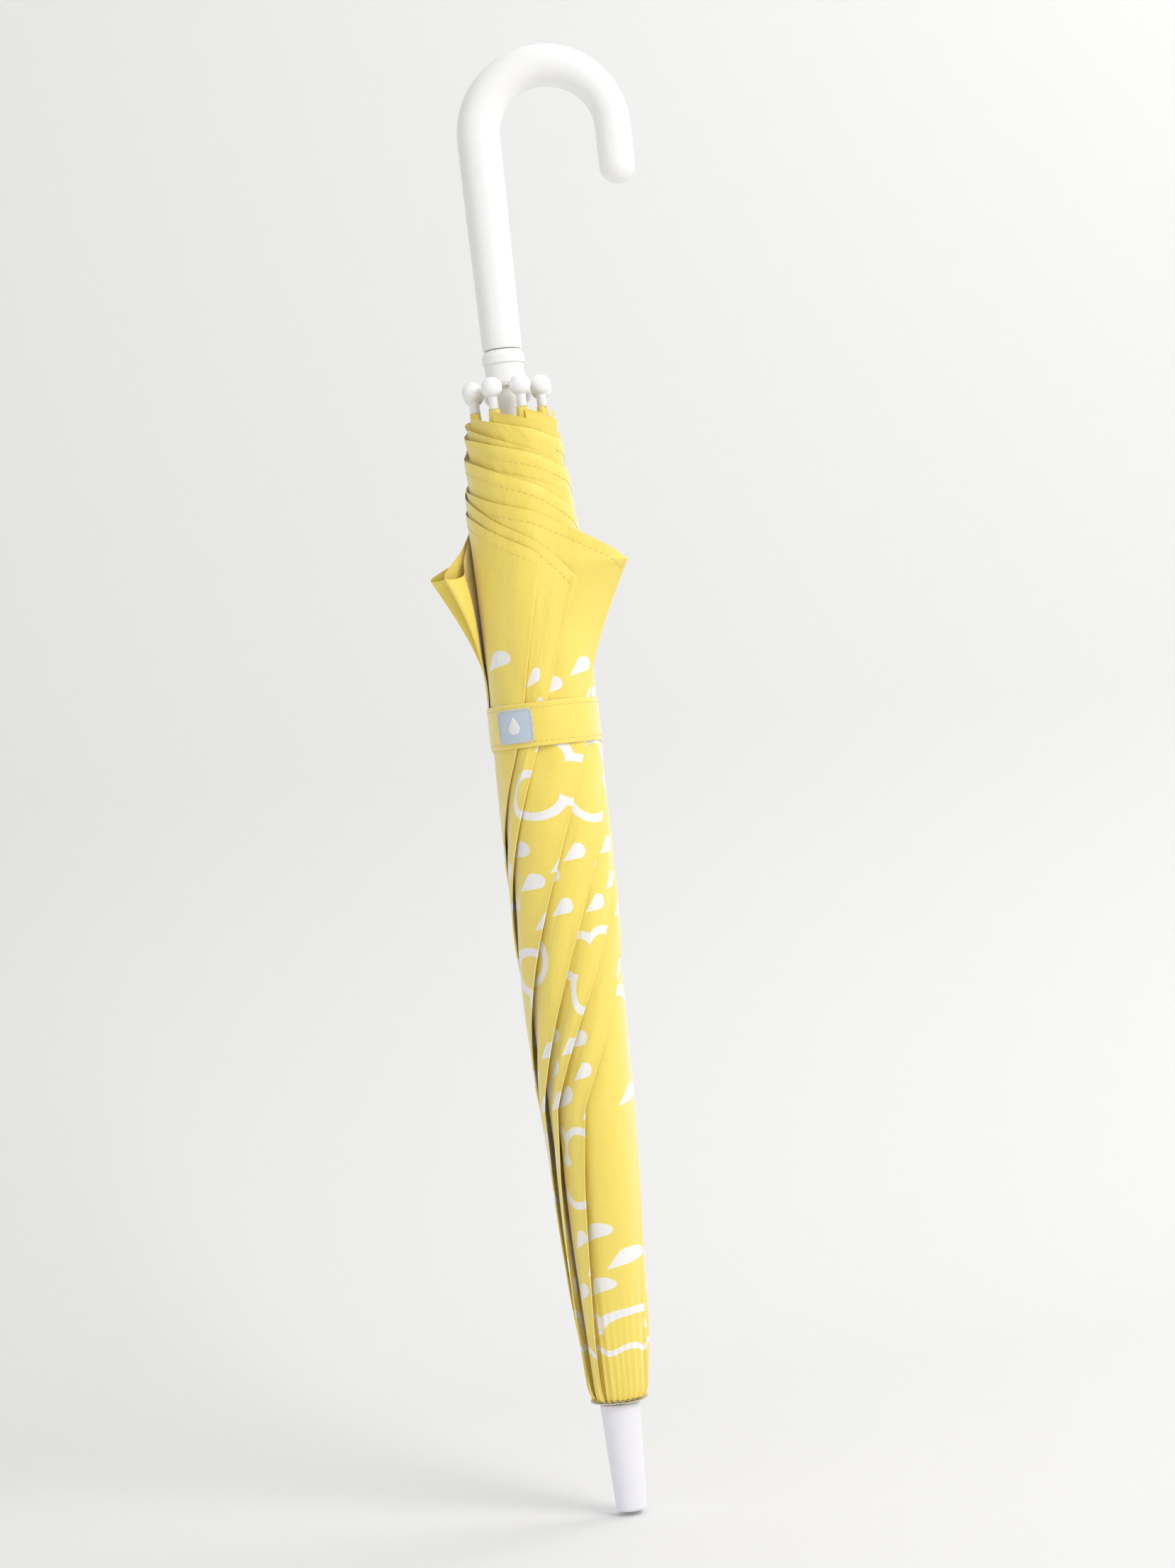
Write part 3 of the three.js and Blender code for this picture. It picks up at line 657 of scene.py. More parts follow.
def make_washer():
    """A thin wavy disc with a pinked edge."""
    teeth, rows, tooth_depth = 44, 4, 0.95
    inner, outer = 4.4, washer_high.x
    low, high = washer_low.z, washer_high.z
    columns = teeth * 4
    verts = []
    for layer in (low + 0.18, high - 0.18):
        for i in range(rows + 1):
            for k in range(columns):
                a = 2 * math.pi * k / columns
                tooth = abs(((k / 4) % 1) - 0.5) * 2
                r = inner + (outer - inner - tooth_depth * tooth) * i / rows
                lift = 0.16 * (i / rows) * math.sin(3 * a + 0.6) + 0.08 * math.sin(11 * a) * (i / rows)
                verts.append((r * math.cos(a), r * math.sin(a), layer + lift))
    per = (rows + 1) * columns
    faces = []
    for f in grid_faces(rows + 1, columns, closed=True):
        faces.append(f)
        faces.append(tuple(per + v for v in reversed(f)))
    for k in range(columns):
        n = (k + 1) % columns
        rim = rows * columns
        faces.append((rim + k, rim + n, per + rim + n, per + rim + k))
        faces.append((n, k, per + k, per + n))
    piece = new_piece("pinked_washer", verts, faces, "film", "frame", smooth=False)
    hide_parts("crown_washer")


def make_ball_tips():
    """A ball on a short bored stem, at the end of each rib."""
    stem, bore, low = 2.1, 1.5, 429.0
    centre = (BALL_Z - HINGE_Z) / math.cos(LEAN)
    for i in range(RIBS):
        join = math.asin((stem + 0.25) / BALL_R)
        neck = centre - BALL_R * math.cos(join) - 0.5
        profile = [(bore, low), (stem - 0.2, low), (stem, low + 0.25), (stem, neck)]
        for k in range(21):
            a = join + (math.pi - join) * k / 20
            profile.append((BALL_R * math.sin(a) if k < 20 else 0.0, centre - BALL_R * math.cos(a)))
        profile += [(0, centre), (bore, centre - 2), (bore, low)]
        hinge, turn = rib_frame(i)
        verts, faces = lathe(profile, 32, hinge, turn)
        piece = new_piece(f"ball_end_{i + 1}", verts, faces, "tip", f"rib_{i + 1}")
        piece.data.set_sharp_from_angle(angle=math.radians(60))
        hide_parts(f"ball_tip_{i + 1}")


def dress_cad():
    dress(["runner", "top_notch"], "white")
    dress(["shaft", "notch_wire", "stop_pin", "closed_catch", "open_catch"], "steel")
    dress([f"rib_rivet_{n}" for n in range(1, RIBS + 1)], "steel")
    dress([f"{kind}_{n}" for kind in ("rib", "stretcher") for n in range(1, RIBS + 1)], "lacquer")
    dress(["strap_loop_pad", "strap_hook_pad"], "pad")


# ---- the furled canopy -------------------------------------------------------------------------
SEAM_LENGTH = 431.5  # from a rib's hinge to the hem, along the rib
HEM_CURVE = 15.5  # how far the middle of the hem lies inside its ends
GORE_LENGTH = SEAM_LENGTH - HEM_CURVE  # to the middle of the hem, measured in the ribs' direction
GORE_HALF = 159.0  # half the hem
CROWN_Z = washer_high.z + 0.75
HEM_TOP_Z = 488.0
SHEET_GAP = 0.36  # between a flap's two layers
HEM_WIDTH = 5.4
STRAP_BOTTOM, STRAP_TOP = strap_low.z, strap_high.z

# Tables of (height, value), read by along().
BUNDLE = [(50, 11.4), (54, 13.2), (60, 13.9), (75, 15.1), (95, 16.6), (135, 18.9), (190, 21.7)]
BUNDLE += [(250, 23.2), (300, 24.0), (336, 23.7), (350, 23.6), (364, 23.7), (385, 24.4)]
BUNDLE += [(420, 24.9), (450, 23.9), (476, 21.8), (490, 19.8)]  # radius of the furled bundle
# how far round the shaft a flap's folded edge lies past its rib, and how far round the flap reaches
TURN = [(50, 150), (90, 158), (127, 166), (181, 180), (345, 344), (424, 388), (500, 425)]
WRAP = [(50, 62), (90, 78), (135, 105), (200, 160), (280, 232), (330, 300), (360, 420)]
# how full a flap stands between two folds, how crumpled it is, and how wide its fold may be
PILLOW = [(60, 0.15), (110, 0.4), (200, 0.9), (330, 0.7), (350, 0.1), (370, 0.6), (420, 0.7), (470, 0.3)]
CRUMPLED = [(50, 0.2), (120, 0.9), (330, 0.9), (345, 0.25), (355, 0.25), (375, 0.9), (500, 0.8)]
FOLD_LIMIT = [(50, 0.25), (120, 0.4), (370, 0.5)]

# each fold's own shift round the bundle at five heights, in degrees
SHIFT_Z = [150, 350, 418, 432, 480]
SHIFTS = [
    (7, 0, 0, 0, 0),
    (-19, 5, 4, 2, 0),
    (-27, -6, -5, -3, 0),
    (22, 4, 7, 5, 0),
    (5, -8, 0, 0, 0),
    (0, 13, 11, 8, 0),
    (4, -10, 9, 7, 0),
    (14, 0, 15, 10, 0),
]
SHIFT_GRID = np.linspace(50, 500, 91)
SHIFT_TABLE = np.array([np.interp(SHIFT_GRID, SHIFT_Z, row) for row in SHIFTS])

# one value for each flap
HEM_BOW = [4, -4, 3.5, -3.5, 3, -4, 4, -4]  # lets the hems lie in pairs
CORNER_Z = [416, 420, 414, 419, 417, 423, 412, 418]
STAND = [22, 16, 14, 33, 27, 0, 14, 36]  # cloth that stands straight off the bundle at the corner
FOLD_OPEN = [1.6, 1.2, 1.2, 2.2, 3.4, 0.5, 0.5, 0.6]  # how open the fold is at the corner

rng = np.random.default_rng(11)
WAVES = []  # small folds: turns round the bundle, turns along it, phase, size
for _ in range(14):
    WAVES.append((rng.integers(2, 9), rng.uniform(0.01, 0.05), rng.uniform(0, 6.28), rng.uniform(0.3, 1.0)))


def along(table, z):
    heights, values = zip(*table)
    return np.interp(z, heights, values)


def turn_at(z):
    return along(TURN, z)


def wrap_at(z):
    return np.minimum(along(WRAP, z), turn_at(z))


def fold_shift(fold, level, part):
    return SHIFT_TABLE[fold, level] * (1 - part) + SHIFT_TABLE[fold, level + 1] * part


def warp(nominal, z):
    """Moves evenly spaced azimuths so that the folds lie unevenly; the same for every flap."""
    place = ((nominal - turn_at(z)) / STEP - 0.5) % RIBS
    fold = np.floor(place).astype(int) % RIBS
    between = smoothstep(place - np.floor(place))
    last = len(SHIFT_GRID) - 1
    row = np.clip((z - SHIFT_GRID[0]) / (SHIFT_GRID[-1] - SHIFT_GRID[0]) * last, 0, last - 0.001)
    level = np.floor(row).astype(int)
    part = row - level
    here = fold_shift(fold, level, part)
    after = fold_shift((fold + 1) % RIBS, level, part)
    return nominal + here * (1 - between) + after * between


def crumple(azimuth, z):
    """Small helical folds shared by every layer at a place, so that no layer crosses another."""
    a = np.radians(azimuth - turn_at(z))
    total = 0
    for turns, rate, phase, size in WAVES:
        total = total + size * np.sin(turns * a + rate * z + phase)
    return 0.24 * total


def hem_drop(u):
    """Share of the way down from the ribs' ends to the corner that the hem has come at u."""
    return 0.8 * u**1.1 + 0.2 * u**6


HEM_U = np.linspace(0, 1, 60)
HEM_DROP = hem_drop(HEM_U)
HEM_OUTSIDE_Z = 417  # above this the hem is the outermost edge of the bundle


def hem_height(index, t):
    u = 1 - np.abs(t)
    level_with = u + np.where(t > 0, (1 - u) * STEP / 400, 0.0)
    hem = HEM_TOP_Z - (HEM_TOP_Z - CORNER_Z[index]) * hem_drop(level_with)
    hem = hem - np.where(t > 0, 1.1 * smoothstep((1 - u) * 12), 0.0)
    return hem + HEM_BOW[index] * np.sin(math.pi * u) ** 2


def layer_radius(z, nominal, fold, root):
    """Radius of a smooth layer, from close round the ribs out to the bundle's skin at its edge."""
    start = fold - wrap_at(z)
    high = np.clip((HEM_TOP_Z - z) / (HEM_TOP_Z - HEM_OUTSIDE_Z), 0.02, 1.0)
    edge = root + np.interp(high, HEM_DROP, HEM_U) * (fold - root)
    level = np.clip((nominal - start) / np.maximum(edge - start, 1.0), 0, 1)
    inner = np.maximum(HINGE_R + (z - HINGE_Z) * math.tan(LEAN) + 1.9, 9.3)
    return inner + (along(BUNDLE, z) - inner) * level


def creased(radius, theta, z):
    """Adds gathers at the crown, crumples, pinches beside the strap, and gathers at the ribs' ends."""
    crown = 1 - np.clip((z - 50) / 60, 0, 1)
    radius = radius + 0.55 * crown * np.sin(np.radians(27 * theta) + 0.8 * np.sin(np.radians(5 * theta)))
    radius = radius + crumple(theta, z) * along(CRUMPLED, z)
    beside = np.minimum(np.abs(z - STRAP_TOP), np.abs(z - STRAP_BOTTOM))
    pinch = np.exp(-((beside / 14) ** 2)) * np.where((z < STRAP_TOP) & (z > STRAP_BOTTOM), 0.2, 1.0)
    wander = np.radians(13 * theta) + 2.0 * np.sin(np.radians(2 * theta)) + z * 0.06
    radius = radius + 0.30 * pinch * np.sin(wander)
    gathered = smoothstep((z - 452) / 30)
    radius = radius + 0.55 * gathered * np.cos(np.radians(RIBS * (theta - STEP / 2)))
    return radius + 0.2 * gathered * np.sin(np.radians(31 * theta))


def half_gap(index, a, z, from_fold):
    """Half the gap between a flap's layers: open in the rounded fold, thin behind it, thick in the hem."""
    near_corner = smoothstep((z - 375) / 45)
    loop = SHEET_GAP / 2 + 0.25 + (FOLD_OPEN[index] - 0.25) * near_corner
    loop = np.minimum(loop, along(FOLD_LIMIT, z) + 6 * near_corner)
    half = SHEET_GAP / 2 + (loop - SHEET_GAP / 2) * np.exp(-((from_fold / (3.2 * loop)) ** 2))
    near = np.minimum(from_fold / loop, 1.0)
    half = half * np.sqrt(np.maximum(1 - (1 - near) ** 2, 0))
    hemmed = smoothstep((a * GORE_LENGTH - (GORE_LENGTH - HEM_WIDTH)) / 1.2)
    return half + 0.10 * hemmed


def stand_off(index, z, radius, theta, fold):
    """Places a layer round the shaft; past the line where its corner leaves the bundle it runs straight."""
    reach = STAND[index] * np.clip((z - 360) / (CORNER_Z[index] - 360), 0, 1) ** 1.15
    leave = fold - np.degrees(reach / along(BUNDLE, z))
    azimuth = np.radians(np.minimum(theta, leave))
    arc = np.radians(np.maximum(theta - leave, 0)) * radius
    lift = 0.0016 * arc**2 * (1 if STAND[index] > 20 else 0)
    x = (radius + lift) * np.cos(azimuth) - arc * np.sin(azimuth)
    y = (radius + lift) * np.sin(azimuth) + arc * np.cos(azimuth)
    return np.stack([x, y, z], -1)


def flap(index, a, t):
    """Point on a furled flap. a runs from crown to hem; t is -1 at one rib, 0 at the fold, 1 at the next."""
    a, t = np.broadcast_arrays(np.asarray(a, float), np.asarray(t, float))
    z = CROWN_Z + a * (hem_height(index, t) - CROWN_Z)
    fold = rib_azimuth(index) + turn_at(z)
    to_next_rib = np.where(t > 0, STEP, 0.0) * smoothstep((z - 300) / 60)
    root = fold - wrap_at(z) + to_next_rib
    nominal = root + (1 - np.abs(t)) * (fold - root)
    radius = layer_radius(z, nominal, fold, root)
    behind = np.clip((fold - nominal) / STEP, 0, 1)
    radius = radius + along(PILLOW, z) * np.sin(math.pi * behind) ** 2
    theta = warp(nominal, z)
    radius = creased(radius, theta, z)
    from_fold = np.radians(np.maximum(fold - nominal, 0)) * radius
    half = half_gap(index, a, z, from_fold)
    radius = radius + np.where(t > 0, -half, half)
    return stand_off(index, z, radius, theta, warp(fold, z))


def flat_place(index, z, t):
    """Where a point of the furled flap lies on the flat gore: the cloth turns with its leaning fold."""
    radius = along(BUNDLE, z)
    behind = np.radians(wrap_at(z)) * radius * np.abs(t)
    lean = np.arctan(np.radians(turn_at(z + 8) - turn_at(z - 8)) / 16 * radius)
    across = np.sign(t) * behind * np.cos(lean) + PRINT_SHIFT[index]
    down = GORE_LENGTH * (z - CROWN_Z) / (CORNER_Z[index] - CROWN_Z) - behind * np.sin(lean)
    return np.stack([across, down], -1)


def fold_away(piece):
    """Gives a furled piece a mesh of its own."""
    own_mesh(piece)


def furled_gore(index):
    hem = HEM_WIDTH / GORE_LENGTH
    in_hem = 1 - hem * np.array([1.3, 1.1, 1.0, 0.9, 0.75, 0.5, 0.25, 0.1, 0.0])
    rows = np.concatenate([np.linspace(0, 1 - 1.6 * hem, 150), in_hem])
    # columns crowd together towards the fold
    from_fold = 1 - (1 - (1 - np.linspace(0, 1, 58)) ** 2.2)
    columns = np.concatenate([-from_fold, from_fold[::-1][1:]])
    a, t = np.meshgrid(rows, columns, indexing="ij")
    points = flap(index, a, t)
    uv = flat_place(index, points[..., 2], t).reshape(-1, 2)
    faces = grid_faces(len(rows), len(columns))
    verts = points.reshape(-1, 3)
    piece = new_piece(f"furled_gore_{index + 1}", verts, faces, "canopy", "frame", uv=uv)
    fold_away(piece)


def point_at(run, points, distance):
    return np.array([np.interp(distance, run, points[:, c]) for c in range(3)])


def stitch_row(points, normals, length, width, height):
    """Raised thread stitches along a line of points, with a bare stretch after each."""
    verts, faces = [], []
    sides = 6
    steps = np.linalg.norm(np.diff(points, axis=0), axis=1)
    run = np.concatenate([[0], np.cumsum(steps)])
    start = 0.4
    while start + length < run[-1]:
        spots = [point_at(run, points, start + length * f) for f in (0, 0.25, 0.5, 0.75, 1)]
        up = point_at(run, normals, start + length / 2)
        up /= np.linalg.norm(up)
        side = np.cross(spots[-1] - spots[0], up)
        side /= max(np.linalg.norm(side), 1e-9)
        first = len(verts)
        for spot, scale in zip(spots, (0.25, 0.85, 1.0, 0.85, 0.25)):
            for k in range(sides):
                b = 2 * math.pi * k / sides
                out = side * width * scale * math.cos(b)
                verts.append(spot + out + up * height * scale * (math.sin(b) + 0.2))
        for face in grid_faces(len(spots), sides, closed=True):
            faces.append(tuple(first + corner for corner in face))
        faces.append(tuple(first + k for k in reversed(range(sides))))
        faces.append(tuple(first + (len(spots) - 1) * sides + k for k in range(sides)))
        start += length * 1.45
    return verts, faces


def join_parts(parts):
    verts, faces = [], []
    for part_verts, part_faces in parts:
        faces += [tuple(i + len(verts) for i in face) for face in part_faces]
        verts += list(part_verts)
    return verts, faces


def hem_stitches(index):
    """The row of stitches along the hem's turned edge, on the outside of both layers."""
    parts = []
    level = 1 - (HEM_WIDTH + 0.1) / GORE_LENGTH
    for sign in (-1, 1):
        t = sign * (1 - np.linspace(0.30, 0.995, 400))
        points = flap(index, level, t)
        down = flap(index, level - 0.004, t) - points
        normals = np.cross(down, np.gradient(points, axis=0))
        normals /= np.linalg.norm(normals, axis=1)[:, None]
        out = np.concatenate([points[:, :2], np.zeros((len(points), 1))], 1)
        flip = np.sign(np.sum(normals * out, axis=1))[:, None]
        normals = normals * flip * (1 if sign < 0 else -1)
        parts.append(stitch_row(points + normals * 0.08, normals, 1.9, 0.20, 0.16))
    verts, faces = join_parts(parts)
    piece = new_piece(f"hem_thread_{index + 1}", verts, faces, "thread", "frame")
    fold_away(piece)


def crown_cloth():
    """The canopy's gathered middle, between the washer and the flaps."""
    rows, columns = 9, 160
    inner, outer = 4.35, 12.35
    verts, uv = [], []
    for i in range(rows):
        f = i / (rows - 1)
        for k in range(columns):
            b = 2 * math.pi * k / columns
            ripple = 0.14 * math.sin(27 * b) * f
            r = inner + (outer - inner) * f
            z = washer_high.z + 0.35 + 0.15 * f + ripple
            verts.append((r * math.cos(b), r * math.sin(b), z))
            uv.append((r * math.sin(b * 8) * 0.4, r))
    faces = grid_faces(rows, columns, closed=True)
    piece = new_piece("crown_cloth", verts, faces, "canopy", "frame", uv=uv)


def tip_pocket(index):
    """The short sewn pocket that holds the canopy on a rib's end."""
    rows, columns = 14, 28
    low, length, mouth, mouth_end = 419.0, 13.5, 2.35, 432.2
    verts, uv = [], []
    hinge, turn = rib_frame(index)
    for i in range(rows):
        f = i / (rows - 1)
        for k in range(columns):
            b = 2 * math.pi * k / columns
            wide = 3.6 - 1.1 * f + 0.35 * math.sin(6 * b + index) * (1 - f) + 0.2 * math.sin(40 * f)
            deep = 2.7 - 0.5 * f + 0.2 * math.sin(5 * b + 2 * index) * f
            local = np.array([deep * math.cos(b), wide * math.sin(b), low + length * f])
            verts.append(turn @ local + hinge)
            uv.append((b * 2.5, 400 + 12 * f))
    for k in range(columns):
        b = 2 * math.pi * k / columns
        verts.append(turn @ np.array([mouth * math.cos(b), mouth * math.sin(b), mouth_end]) + hinge)
        uv.append((b * 2.5, 413))
    faces = grid_faces(rows + 1, columns, closed=True)
    body = f"rib_{index + 1}"
    piece = new_piece(f"tip_pocket_{index + 1}", verts, faces, "canopy", body, uv=uv)


# ---- the open canopy, out of sight while furled ------------------------------------------------
SPREAD_HALF = 1.6  # half the width of the hidden strip that an unspread gore is gathered into
RING_R, RING_Z = 8.9, HINGE_Z - 3.5  # where the open gores start, round the notch
RING_REACH = 34  # the gores go over from round to flat between the ribs within this length
OVER_RIB = 2.3  # the cloth's height over a rib's centre line


def rib_line(azimuth, lean):
    """Foot and direction of a rib's centre line at a lean from the shaft, and its outward normal."""
    out = np.array([math.cos(azimuth), math.sin(azimuth), 0.0])
    up = np.array([0.0, 0.0, 1.0])
    foot = out * HINGE_R + up * HINGE_Z
    return foot, out * math.sin(lean) + up * math.cos(lean), out * math.cos(lean) - up * math.sin(lean)


def open_place(a, t, lines, azimuth, lean):
    """Point on the open gore: a runs from crown to hem, t from its own rib to the next."""
    bow = 4 * t * (1 - t)
    s = a * (SEAM_LENGTH - HEM_CURVE * bow * a)
    lift = OVER_RIB * min(1.0, s / 30) + 0.6 * math.sin(math.pi * t) * a
    first, second = [foot + ahead * s + out * lift for foot, ahead, out in lines]
    chord = (1 - t) * first + t * second
    ring = np.array([RING_R * math.cos(azimuth), RING_R * math.sin(azimuth), RING_Z])
    round_out = np.array([math.cos(azimuth), math.sin(azimuth), 0])
    ring += s * (math.sin(lean) * round_out + np.array([0, 0, math.cos(lean)]))
    joined = smoothstep(s / RING_REACH)
    return ring * (1 - joined) + chord * joined


def gathered_place(local, axis, pivot, spread, foot, across):
    """Turns a point back about the gore's joint until it lies in the narrow strip along the rib."""
    low, high = 0.0, 1.0
    for _ in range(32):
        share = (low + high) / 2
        point = rotation(axis, -share * spread) @ (local - pivot) + pivot
        ease = 0.5 - math.sin(math.asin(1 - 2 * share) / 3)
        if across @ (point - foot) + SPREAD_HALF > 2 * SPREAD_HALF * ease:
            low = share
        else:
            high = share
    return point


def spread_gore(index):
    """One gore of the open canopy. At rest it is gathered along its rib, under the furled flaps."""
    joint = JOINTS[f"gore_{index + 1}_spread"]
    axis = Vector(joint["axis"]).normalized()
    pivot = np.array(joint["pos_m"]) * 1000
    spread = math.radians(joint["range_deg"][1])
    hinge_axis = Vector(JOINTS[f"rib_{index + 1}_hinge"]["axis"]).normalized()
    closing = rotation(hinge_axis, -OPEN_TURN)
    first = math.radians(rib_azimuth(index))
    second = math.radians(rib_azimuth(index) + STEP)
    lean = LEAN + OPEN_TURN
    lines = [rib_line(first, lean), rib_line(second, lean)]
    foot, ahead, _ = rib_line(first, LEAN)
    across = np.cross(np.array(axis), ahead)
    across /= np.linalg.norm(across)
    rows, columns = 72, 41
    verts, uv = [], []
    for i in range(rows):
        a = i / (rows - 1)
        for j in range(columns):
            t = 0.5 - 0.5 * math.cos(math.pi * (0.004 + 0.992 * j / (columns - 1)))
            target = open_place(a, t, lines, first + (second - first) * t, lean)
            local = closing @ (target - foot) + foot
            verts.append(gathered_place(local, axis, pivot, spread, foot, across))
            uv.append(((2 * t - 1) * GORE_HALF * a + PRINT_SHIFT[index], GORE_LENGTH * a))
    faces = grid_faces(rows, columns)
    piece = new_piece(f"spread_gore_{index + 1}", verts, faces, "canopy", uv=uv)
    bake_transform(piece)
    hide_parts(f"gore_{index + 1}")


# ---- the strap ---------------------------------------------------------------------------------
STRAP_Z = (STRAP_BOTTOM + STRAP_TOP) / 2
STRAP_WIDTH = STRAP_TOP - STRAP_BOTTOM - 0.4
STRAP_R = 24.35
STRAP_THICK = 0.34  # half the strap's thickness
STRAP_BODY = "rib_6"
LAP_START, LAP, RAMP = 55.0, 70.0, 26.0  # degrees: where the strap begins, its lap, and the climb onto it
SEAM_IN = 2.2  # from the strap's edge to its stitches


def strap_radius(angle):
    """Angle runs from the under end, round the bundle, to the lapped end."""
    climb = smoothstep((angle - (LAP_START + 360 - RAMP)) / RAMP)
    wave = 0.22 * np.sin(np.radians(3 * angle + 40)) + 0.12 * np.sin(np.radians(7 * angle))
    return STRAP_R + wave + 1.25 * climb


def strap_point(angle, z, lift=0.0):
    r = strap_radius(angle) + lift
    a = np.radians(angle)
    return np.stack([r * np.cos(a), r * np.sin(a), z + 0 * a], -1)


def on_strap(piece):
    """Gives a piece of the strap a mesh of its own."""
    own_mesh(piece)


def strap_profile():
    """The strap's section as (up, out): rounded edges, a slight crown and a dent along each seam."""
    half, thick = STRAP_WIDTH / 2, STRAP_THICK
    profile = []
    for i in range(5):
        b = math.pi * i / 4
        profile.append((half - thick + thick * math.sin(b), -thick * math.cos(b)))
    for f in np.linspace(0.9, -0.9, 13):
        dent = 0.12 * math.exp(-(((abs(f) * half - (half - SEAM_IN)) / 0.5) ** 2))
        profile.append((half * f, thick + 0.12 * (1 - f * f) - dent))
    for i in range(5):
        b = math.pi * i / 4
        profile.append((-half + thick - thick * math.sin(b), thick * math.cos(b)))
    for f in np.linspace(-0.9, 0.9, 7):
        profile.append((half * f, -thick))
    return profile


def make_strap():
    profile = strap_profile()
    angles = np.linspace(LAP_START, LAP_START + 360 + LAP, 216)
    columns = len(profile)
    verts, uv = [], []
    for angle in angles:
        run = math.radians(angle) * STRAP_R
        for up, out in profile:
            verts.append(strap_point(np.float64(angle), STRAP_Z + up, out))
            uv.append((run, up))
    faces = [tuple(reversed(face)) for face in grid_faces(len(angles), columns, closed=True)]
    last = (len(angles) - 1) * columns
    faces.append(tuple(range(columns)))
    faces.append(tuple(last + k for k in reversed(range(columns))))
    piece = new_piece("closing_strap", verts, faces, "strap", STRAP_BODY, uv=uv)
    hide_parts("strap")
    on_strap(piece)


def strap_stitches():
    """A row of stitches along each edge of the strap."""
    parts = []
    a = np.linspace(LAP_START + 3, LAP_START + 360 + LAP - 3, 900)
    normals = np.stack([np.cos(np.radians(a)), np.sin(np.radians(a)), 0 * a], -1)
    for sign in (1, -1):
        points = strap_point(a, STRAP_Z + sign * (STRAP_WIDTH / 2 - SEAM_IN), STRAP_THICK + 0.05)
        parts.append(stitch_row(points, normals, 1.7, 0.17, 0.14))
    verts, faces = join_parts(parts)
    on_strap(new_piece("strap_thread", verts, faces, "thread", STRAP_BODY))


# ---- the label on the strap --------------------------------------------------------------------
LABEL_AZIMUTH = -121.0
LABEL_ACROSS, LABEL_UP = 17.6, 15.0


def label_point(x, y, lift):
    """A point on the strap, x round and y up from the label's centre."""
    angle = np.float64(LABEL_AZIMUTH + math.degrees(x / STRAP_R))
    return strap_point(angle, STRAP_Z + y, lift)


def sew_on(name, verts, faces, material):
    piece = new_piece(name, verts, faces, material, STRAP_BODY)
    on_strap(piece)
    return piece


def label_ground(lift=0.42, thick=0.5, steps=26):
    """A woven patch with cut corners and slightly ragged, thinner edges."""
    verts, faces = [], []
    for layer in (0, thick):
        for j in range(steps + 1):
            for i in range(steps + 1):
                fx, fy = 2 * i / steps - 1, 2 * j / steps - 1
                corner = max(0.0, abs(fx) + abs(fy) - 1.55) * 0.35
                rag = 0.05 * math.sin(9 * fx + 4 * fy)
                x = fx * (LABEL_ACROSS / 2) * (1 - corner) + rag * (abs(fy) > 0.99)
                y = fy * (LABEL_UP / 2) * (1 - corner) + rag
                puff = layer * (1 - 0.35 * max(abs(fx), abs(fy)) ** 6)
                verts.append(label_point(x, y, lift + puff))
    n = steps + 1
    top = n * n
    for j in range(steps):
        for i in range(steps):
            a = j * n + i
            faces.append((a, a + n, a + n + 1, a + 1))
            faces.append((top + a, top + a + 1, top + a + n + 1, top + a + n))
    rim = list(range(n)) + [j * n + steps for j in range(1, n)]
    rim += [steps * n + i for i in range(steps - 1, -1, -1)] + [j * n for j in range(steps - 1, 0, -1)]
    for p, q in zip(rim, rim[1:] + rim[:1]):
        faces.append((p, q, top + q, top + p))
    piece = sew_on("label_patch", verts, faces, "label")
    piece.data.set_sharp_from_angle(angle=math.radians(50))
    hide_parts("strap_label")


def drop_outline(radius=2.9, point=5.0, count=40):
    outline = []
    for k in range(count):
        b = 2 * math.pi * k / count
        x, y = radius * math.sin(b), -radius * math.cos(b)
        if y > 0:
            f = y / radius
            x *= (1 - f) ** 0.55
            y = point * f
        outline.append((x, y - 0.9))
    return outline


def label_motif(lift=0.90, thick=0.28):
    """A plain raised drop, embroidered on the patch."""
    outline = drop_outline()
    count = len(outline)
    rings = ((1.0, 0.0), (1.0, thick * 0.6), (0.8, thick), (0.4, thick * 1.05), (0.02, thick * 1.08))
    cx, cy = np.mean(outline, axis=0)
    verts = []
    for scale, height in rings:
        for x, y in outline:
            verts.append(label_point(cx + (x - cx) * scale, cy + (y - cy) * scale, lift + height))
    faces = grid_faces(len(rings), count, closed=True)
    faces.append(tuple((len(rings) - 1) * count + k for k in range(count)))
    faces.append(tuple(reversed(range(count))))
    sew_on("label_motif", verts, faces, "label_drop")


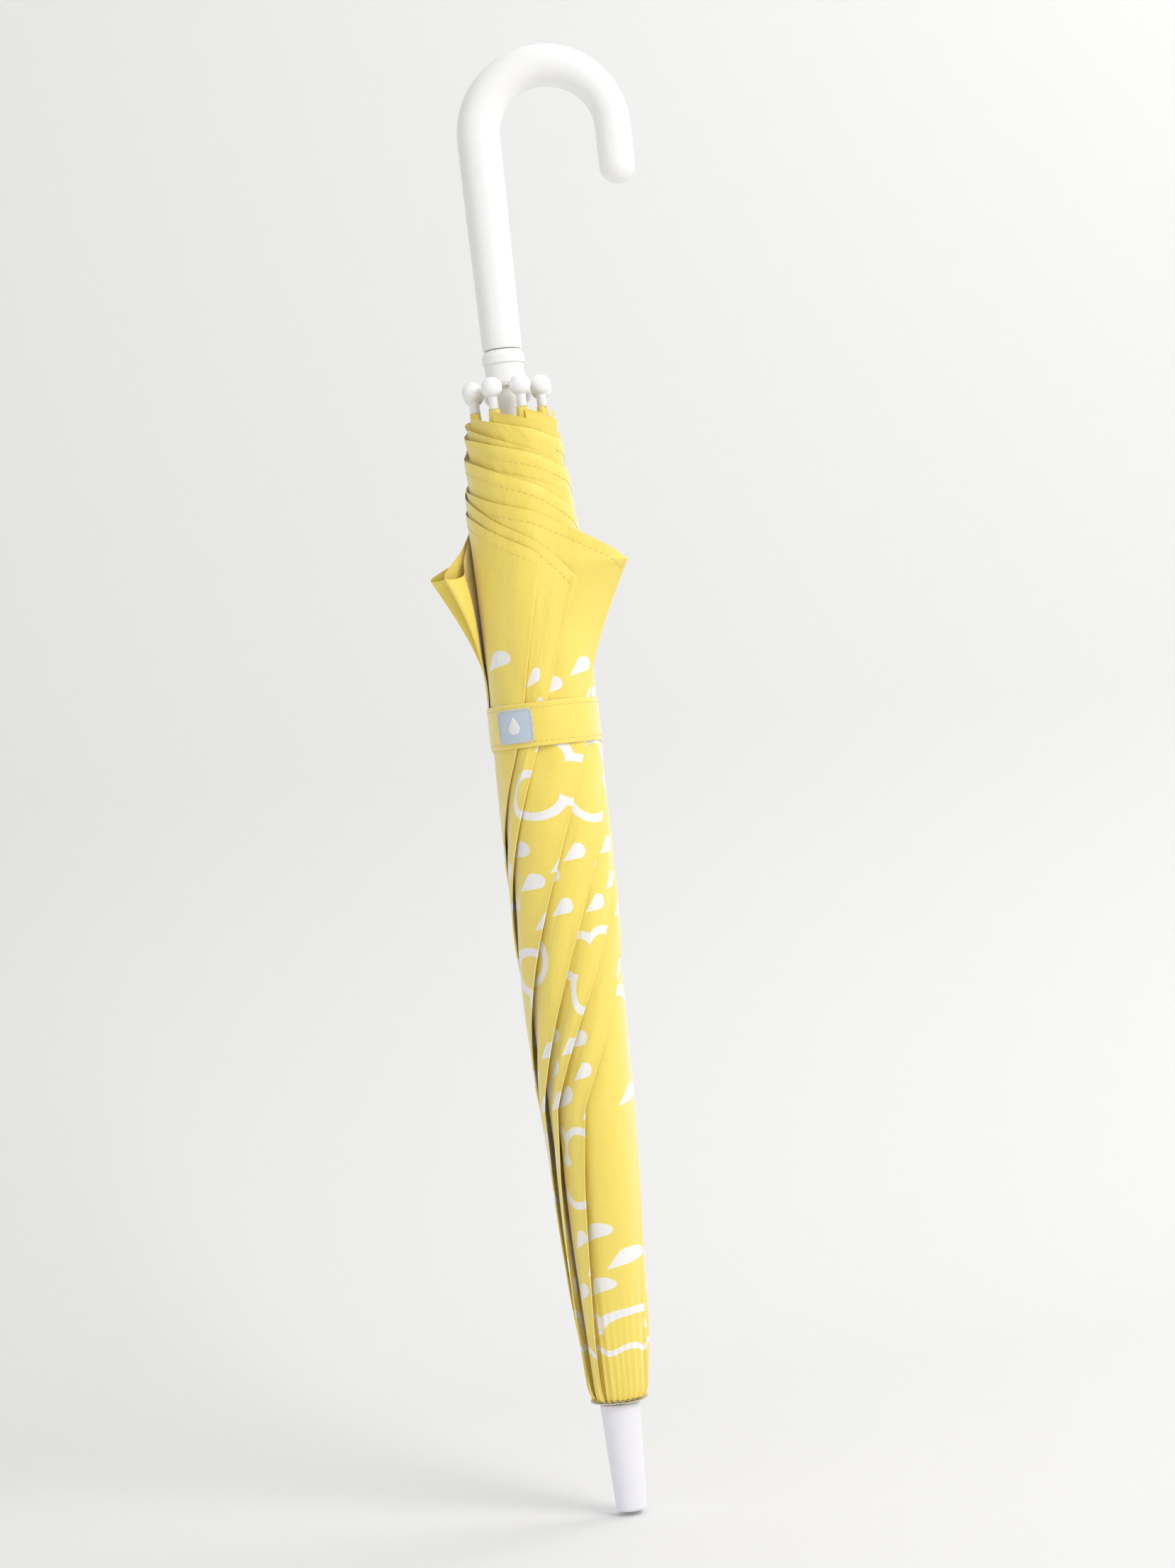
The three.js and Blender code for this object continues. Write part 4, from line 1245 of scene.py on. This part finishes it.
def border_stitch(x, y, nx, ny):
    """One overlock stitch across the patch's edge, from inside to outside it."""
    ends = [(x - nx, y - ny), (x + nx, y + ny)]
    a = np.array([LABEL_AZIMUTH + math.degrees(px / STRAP_R) for px, _ in ends])
    z = np.array([STRAP_Z + py for _, py in ends])
    ts = np.linspace(0, 1, 6)
    points = strap_point(a[0] + (a[1] - a[0]) * ts, z[0] + (z[1] - z[0]) * ts, 0.93)
    length = np.linalg.norm(points[-1] - points[0]) * 0.96
    points = np.vstack([points[0] - (points[1] - points[0]) * 2, points])
    mid = math.radians(float(a.mean()))
    normals = np.tile(np.array([math.cos(mid), math.sin(mid), 0.0]), (len(points), 1))
    return stitch_row(points, normals, length, 0.26, 0.16)


def label_border():
    edge, spacing, half_stitch = 0.75, 0.62, 0.72
    right, top = LABEL_ACROSS / 2 - edge, LABEL_UP / 2 - edge
    corners = [(-right, -top), (right, -top), (right, top), (-right, top)]
    parts = []
    for (x0, y0), (x1, y1) in zip(corners, corners[1:] + corners[:1]):
        length = math.hypot(x1 - x0, y1 - y0)
        nx, ny = -(y1 - y0) / length * half_stitch, (x1 - x0) / length * half_stitch
        count = int(length / spacing)
        for i in range(count):
            f = (i + 0.5) / count
            parts.append(border_stitch(x0 + (x1 - x0) * f, y0 + (y1 - y0) * f, nx, ny))
    verts, faces = join_parts(parts)
    sew_on("label_border", verts, faces, "label_edge")


# ---- everything --------------------------------------------------------------------------------
add_camera()
add_world()
add_light("key", (1.5, -1.5, 1.7), (0, 0, 0.33), 1.3, 31, (1.0, 0.985, 0.96))
add_light("fill", (-1.6, -1.7, 0.9), (0, 0, 0.3), 2.2, 3.5, (0.95, 0.97, 1.0))
add_light("rim", (0.9, 0.35, 1.4), (0, 0, 0.35), 1.0, 6)
add_stage()
dress_cad()
make_handle()
make_ferrule()
make_washer()
make_ball_tips()
for gore in range(RIBS):
    furled_gore(gore)
    hem_stitches(gore)
    tip_pocket(gore)
    spread_gore(gore)
crown_cloth()
make_strap()
strap_stitches()
label_ground()
label_motif()
label_border()
